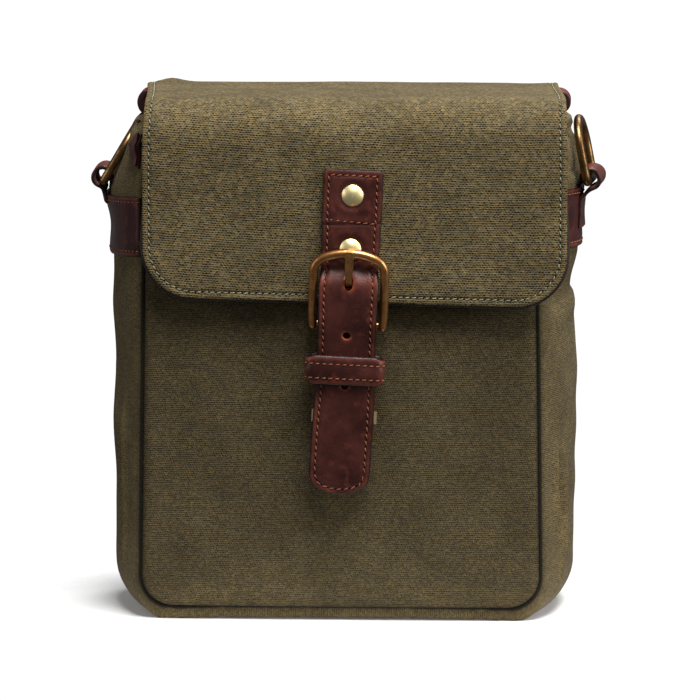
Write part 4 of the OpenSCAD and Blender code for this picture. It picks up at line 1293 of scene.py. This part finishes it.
def strap_run(line):
    """Turns a line of (x, s) on the strap into points and normals in the bag's frame."""
    x, s = every_mm(line)
    p, m = strap_face(x, s, STRAP_T - 0.42 + 0.35 * (1 - (x / STRAP_HALF) ** 2))
    q = on_strap(p)
    return q, unit(on_strap(p + m) - q)


def strap_stitches():
    """The strap's topstitching: both sides, its sewn end, the cross seam and round the tip."""
    side_end = STRAP_LEN - 11
    lines = [[(side * (strap_half(q) - SEAM_INSET), q) for q in np.arange(SEAM_INSET, side_end, 1.0)]
             for side in (-1, 1)]
    half = STRAP_HALF - SEAM_INSET
    lines.append([(-half, SEAM_INSET), (half, SEAM_INSET)])
    cross_s = strap_s(SWING_Z + 1.2)
    lines.append([(-half, cross_s - 0.7), (half, cross_s + 0.7)])
    tip_half = END_HALF - 5.2
    tip = [(q, STRAP_LEN - tip_rise(q) - SEAM_INSET) for q in np.linspace(-tip_half, tip_half, 12)]
    lines.append([(-END_HALF + SEAM_INSET, side_end)] + tip + [(END_HALF - SEAM_INSET, side_end)])
    return stitches("strap_stitches", [strap_run(line) for line in lines], THREAD_TAN, 2.5, 3.7, 0.3)


def strap():
    """The strap, from its sewn end on the flap, over the prong, down to its tip."""
    dom, keep, raw, from_hole = punch(strap_grid())
    x, s = dom[..., 0], dom[..., 1]
    e = edge_distance(dom)
    z = np.interp(s, STRAP_S, STRAP_REAR[:, 1])
    face, n = strap_face(x, s, np.full(x.shape, STRAP_T - 0.25))
    outer = face + n * (strap_relief(x, s, z, e, from_hole) - edge_drop(e, 0.95))[..., None]
    rear, _ = strap_face(x, s, np.zeros(x.shape))
    inner = rear + n * edge_drop(e, 0.6)[..., None]
    # This term and the one at height 184 lighten the bulge over the prong, where it faces up: painted
    # highlight, on top of rubbing at the bend.
    bulge_highlight = bell(z, 183, 7) * smooth(np.abs(x), 8, 15)
    wear_and_highlight = 0.7 * bell(e, 1.4, 0.9) * (0.5 + 0.5 * waves(x, z, 18, 2.0)) + 0.9 * bulge_highlight
    wear_and_highlight = wear_and_highlight + 0.45 * bell(z, 184, 3.5) + 0.5 * bell(from_hole, 0.6, 0.9) + 0.3 * bell(z, 192, 2.0)
    # Besides the painted edges, painted shade along the cross crease at SWING_Z.
    edge_paint_and_crease_shade = np.maximum(smooth(e, 0.75, 0.35) * (1 - raw), 0.7 * bell(z, SWING_Z + 0.06 * x, 0.45))
    fields = {"wear_and_highlight": np.clip(wear_and_highlight, 0, 1), "raw": raw, "edge_paint_and_crease_shade": edge_paint_and_crease_shade}
    obj = slab("strap_leather", on_strap(outer), on_strap(inner), [LEATHER], fields, keep)
    high, low = (on_strap(np.array([0.0, -65.2, SWING_Z + dz])) for dz in (5, -5))
    bend(obj, "flap_front", "closure", high, low, "leather", "strap_upper", "strap_lower")
    bend(strap_stitches(), "flap_front", "closure", high, low, "leather")


def keeper():
    """The leather band round the strap, sewn along both edges."""
    half_x, y_front, y_rear, thick, r = 20.7, -70.0, -57.2, 2.3, 4.8
    z_low, z_high = 128.6, 144.0
    pts = []
    for cx, cy, a0 in ((-half_x + r, y_rear - r, 90), (-half_x + r, y_front + r, 180),
                       (half_x - r, y_front + r, 270), (half_x - r, y_rear - r, 0)):
        pts += [(cx + r * math.cos(a), cy + r * math.sin(a)) for a in np.radians(a0 + 15 * np.arange(7))]
    pts = np.array([(0, y_rear)] + pts + [(0, y_rear)])
    seg = lengths(pts)
    line = relaxed(points_at(np.linspace(0, seg[-1], 150), seg, pts), 4)
    d = unit(np.gradient(line, axis=0))
    cols = spaced(z_high - z_low, np.array([0, 0.1, 0.35, 0.8, 1.4, 2.0, 2.6, 3.2, 4.0]), 1.5) + z_low
    lean = 0.004
    x, y = line[:, 0], line[:, 1]
    middle = (z_low + z_high) / 2
    tall = 1 - 0.17 * smooth(np.abs(x), 15.5, 20.8)[:, None]
    surface = np.stack([x[:, None] - 0.5 + 0 * cols[None], y[:, None] + 0 * cols[None],
                        middle + (cols[None] - middle) * tall - lean * x[:, None]], -1)
    n = np.stack([d[:, 1], -d[:, 0], 0 * d[:, 0]], -1)
    n = n * np.sign(n[len(n) // 2, 1] * -1)
    n = np.repeat(n[:, None], len(cols), 1)
    from_edge = np.minimum(cols - z_low, z_high - cols)[None] + 0 * x[:, None]
    seams = (z_low + 3.5, z_high - 4.4)
    bow = 0.8 * (1 - ((cols - middle) / (z_high - z_low) * 2) ** 2)[None] * smooth(-y, 63, 69)[:, None]
    groove = 0.35 * (bell(cols, seams[0], 0.6) + bell(cols, seams[1], 0.6))[None]
    relief = bow - groove + 0.1 * waves(x[:, None], cols[None], 13, 3.0)
    fields = {"wear_and_highlight": 0.6 * bell(from_edge, 1.2, 0.7) + 0.5 * bell(np.abs(x), 20.5, 2.0)[:, None],
              "edge_paint_and_crease_shade": smooth(from_edge, 0.95, 0.5), "raw": 0 * from_edge}
    local = sheet_solid("keeper_leather", surface, n, thick, from_edge, [LEATHER], fields, relief=relief)
    co = np.array([v.co for v in local.data.vertices]) / MM
    local.data.vertices.foreach_set("co", (on_strap(co) * MM).ravel())
    place(local, "closure", "leather", "keeper")
    runs = []
    front = y < y_front + 4.5
    for z in seams:
        p = np.stack([x[front] - 0.5, y[front], z - lean * x[front]], -1) + n[front, 0] * 0.4
        q = on_strap(p)
        runs.append((q, unit(on_strap(p + n[front, 0]) - q)))
    place(stitches("keeper_stitches", runs, THREAD_TAN, 2.4, 3.4, 0.15), "closure", "leather")


# ---------- CAD nodes that stay ----------

def dress_frame():
    """Gives the CAD nodes that stay their materials."""
    looks = {BRASS: ["buckle_prong", "lock_plate", "lock_backplate", "chape_rivets", "clasp_case",
                     "clasp_tongue"],
             BRASS_RING: ["dring_left"],
             PALE_BRASS: ["strap_rivet", "strap_snap", "squeeze_tab_left", "squeeze_tab_right"],
             LEATHER: ["chape"], BOARD: ["base_board"],
             FOAM: ["foam_front", "foam_back", "foam_side_left", "foam_side_right", "foam_base"]}
    for material, names in looks.items():
        for name in names:
            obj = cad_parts[name]
            for k in range(max(1, len(obj.material_slots))):
                if obj.material_slots:
                    obj.material_slots[k].material = material
                else:
                    obj.data.materials.append(material)


# ---------- stage ----------

def area_light(name, at, aim, size, power):
    data = bpy.data.lights.new(name, "AREA")
    data.shape, data.size, data.size_y = "RECTANGLE", size[0], size[1]
    data.energy = power
    obj = bpy.data.objects.new(name, data)
    obj.location = at
    obj.rotation_euler = (Vector(aim) - Vector(at)).to_track_quat("-Z", "Y").to_euler()
    bpy.context.scene.collection.objects.link(obj)


def studio_world(scene):
    """A white backdrop that the camera sees, and a dimmer one that lights the bag."""
    scene.view_settings.view_transform = "Standard"
    world = bpy.data.worlds.new("studio")
    scene.world = world
    world.use_nodes = True
    tree = world.node_tree
    tree.nodes.clear()
    out = tree.nodes.new("ShaderNodeOutputWorld")
    seen, lit, mix = (tree.nodes.new(k) for k in ("ShaderNodeBackground", "ShaderNodeBackground",
                                                  "ShaderNodeMixShader"))
    path = tree.nodes.new("ShaderNodeLightPath")
    seen.inputs[0].default_value, seen.inputs[1].default_value = (1, 1, 1, 1), 1.05
    lit.inputs[0].default_value, lit.inputs[1].default_value = (1, 1, 1, 1), 0.13
    tree.links.new(path.outputs["Is Camera Ray"], mix.inputs[0])
    tree.links.new(lit.outputs[0], mix.inputs[1])
    tree.links.new(seen.outputs[0], mix.inputs[2])
    tree.links.new(mix.outputs[0], out.inputs[0])


def floor_and_lights():
    """Soft lights, and a pale floor that fades out round the bag."""
    area_light("key_top", (0.35, -0.75, 1.85), (0, -0.02, 0.12), (1.0, 0.9), 60)
    area_light("fill_right", (1.6, -0.6, 0.7), (0.05, 0, 0.14), (0.6, 1.0), 17)
    area_light("fill_left", (-1.6, -0.7, 0.6), (0, 0, 0.12), (0.6, 0.8), 5)
    area_light("rim_back", (0.6, 1.1, 1.6), (0, 0, 0.1), (0.8, 0.6), 16)
    size = 0.9
    corners = np.array([(-size, -size, 0), (size, -size, 0), (size, size, 0), (-size, size, 0)]) / MM
    floor = make_mesh("floor", corners, [[0, 1, 2, 3]], [])
    p = Paint("floor_white")
    tint = p.mix(p.noise(p.object_point(), 3.0), (0.86, 0.86, 0.86, 1), (0.88, 0.88, 0.88, 1))
    near = p.node("ShaderNodeVectorMath", out="Value", operation="LENGTH",
                  inputs={0: p.vec("MULTIPLY", p.object_point(), (1 / 0.137, 1 / 0.095, 0.0))})
    floor.data.materials.append(p.finish(tint, 0.9, Alpha=p.ramp(near, 0.95, 1.45, 1.0, 0.0), **{
        "Emission Color": (1, 1, 1, 1), "Emission Strength": 0.08, "Specular IOR Level": 0.1}))


def camera_in(scene):
    """The camera, long and a little above the bag."""
    camera = bpy.data.objects.new("camera", bpy.data.cameras.new("camera"))
    camera.data.sensor_width, camera.data.lens = 36, 289.6
    azimuth, elevation, distance = math.radians(2.436), math.radians(8.336), 3.0
    aim = Vector((0.0019, 0.0, 0.1373))
    back = Vector((math.sin(azimuth) * math.cos(elevation), -math.cos(azimuth) * math.cos(elevation),
                   math.sin(elevation)))
    camera.location = aim + back * distance
    camera.rotation_euler = back.to_track_quat("Z", "Y").to_euler()
    camera.data.clip_end = 50
    scene.collection.objects.link(camera)
    scene.camera = camera


studio_world(bpy.context.scene)
floor_and_lights()
camera_in(bpy.context.scene)
front_panel()
back_panel()
gusset()
lining()
for side in (-1, 1):
    side_band(side)
    ring_tab(side)
    corner_tab(side)
side_tab()
flap()
strap()
keeper()
buckle()
ring_right()
dress_frame()
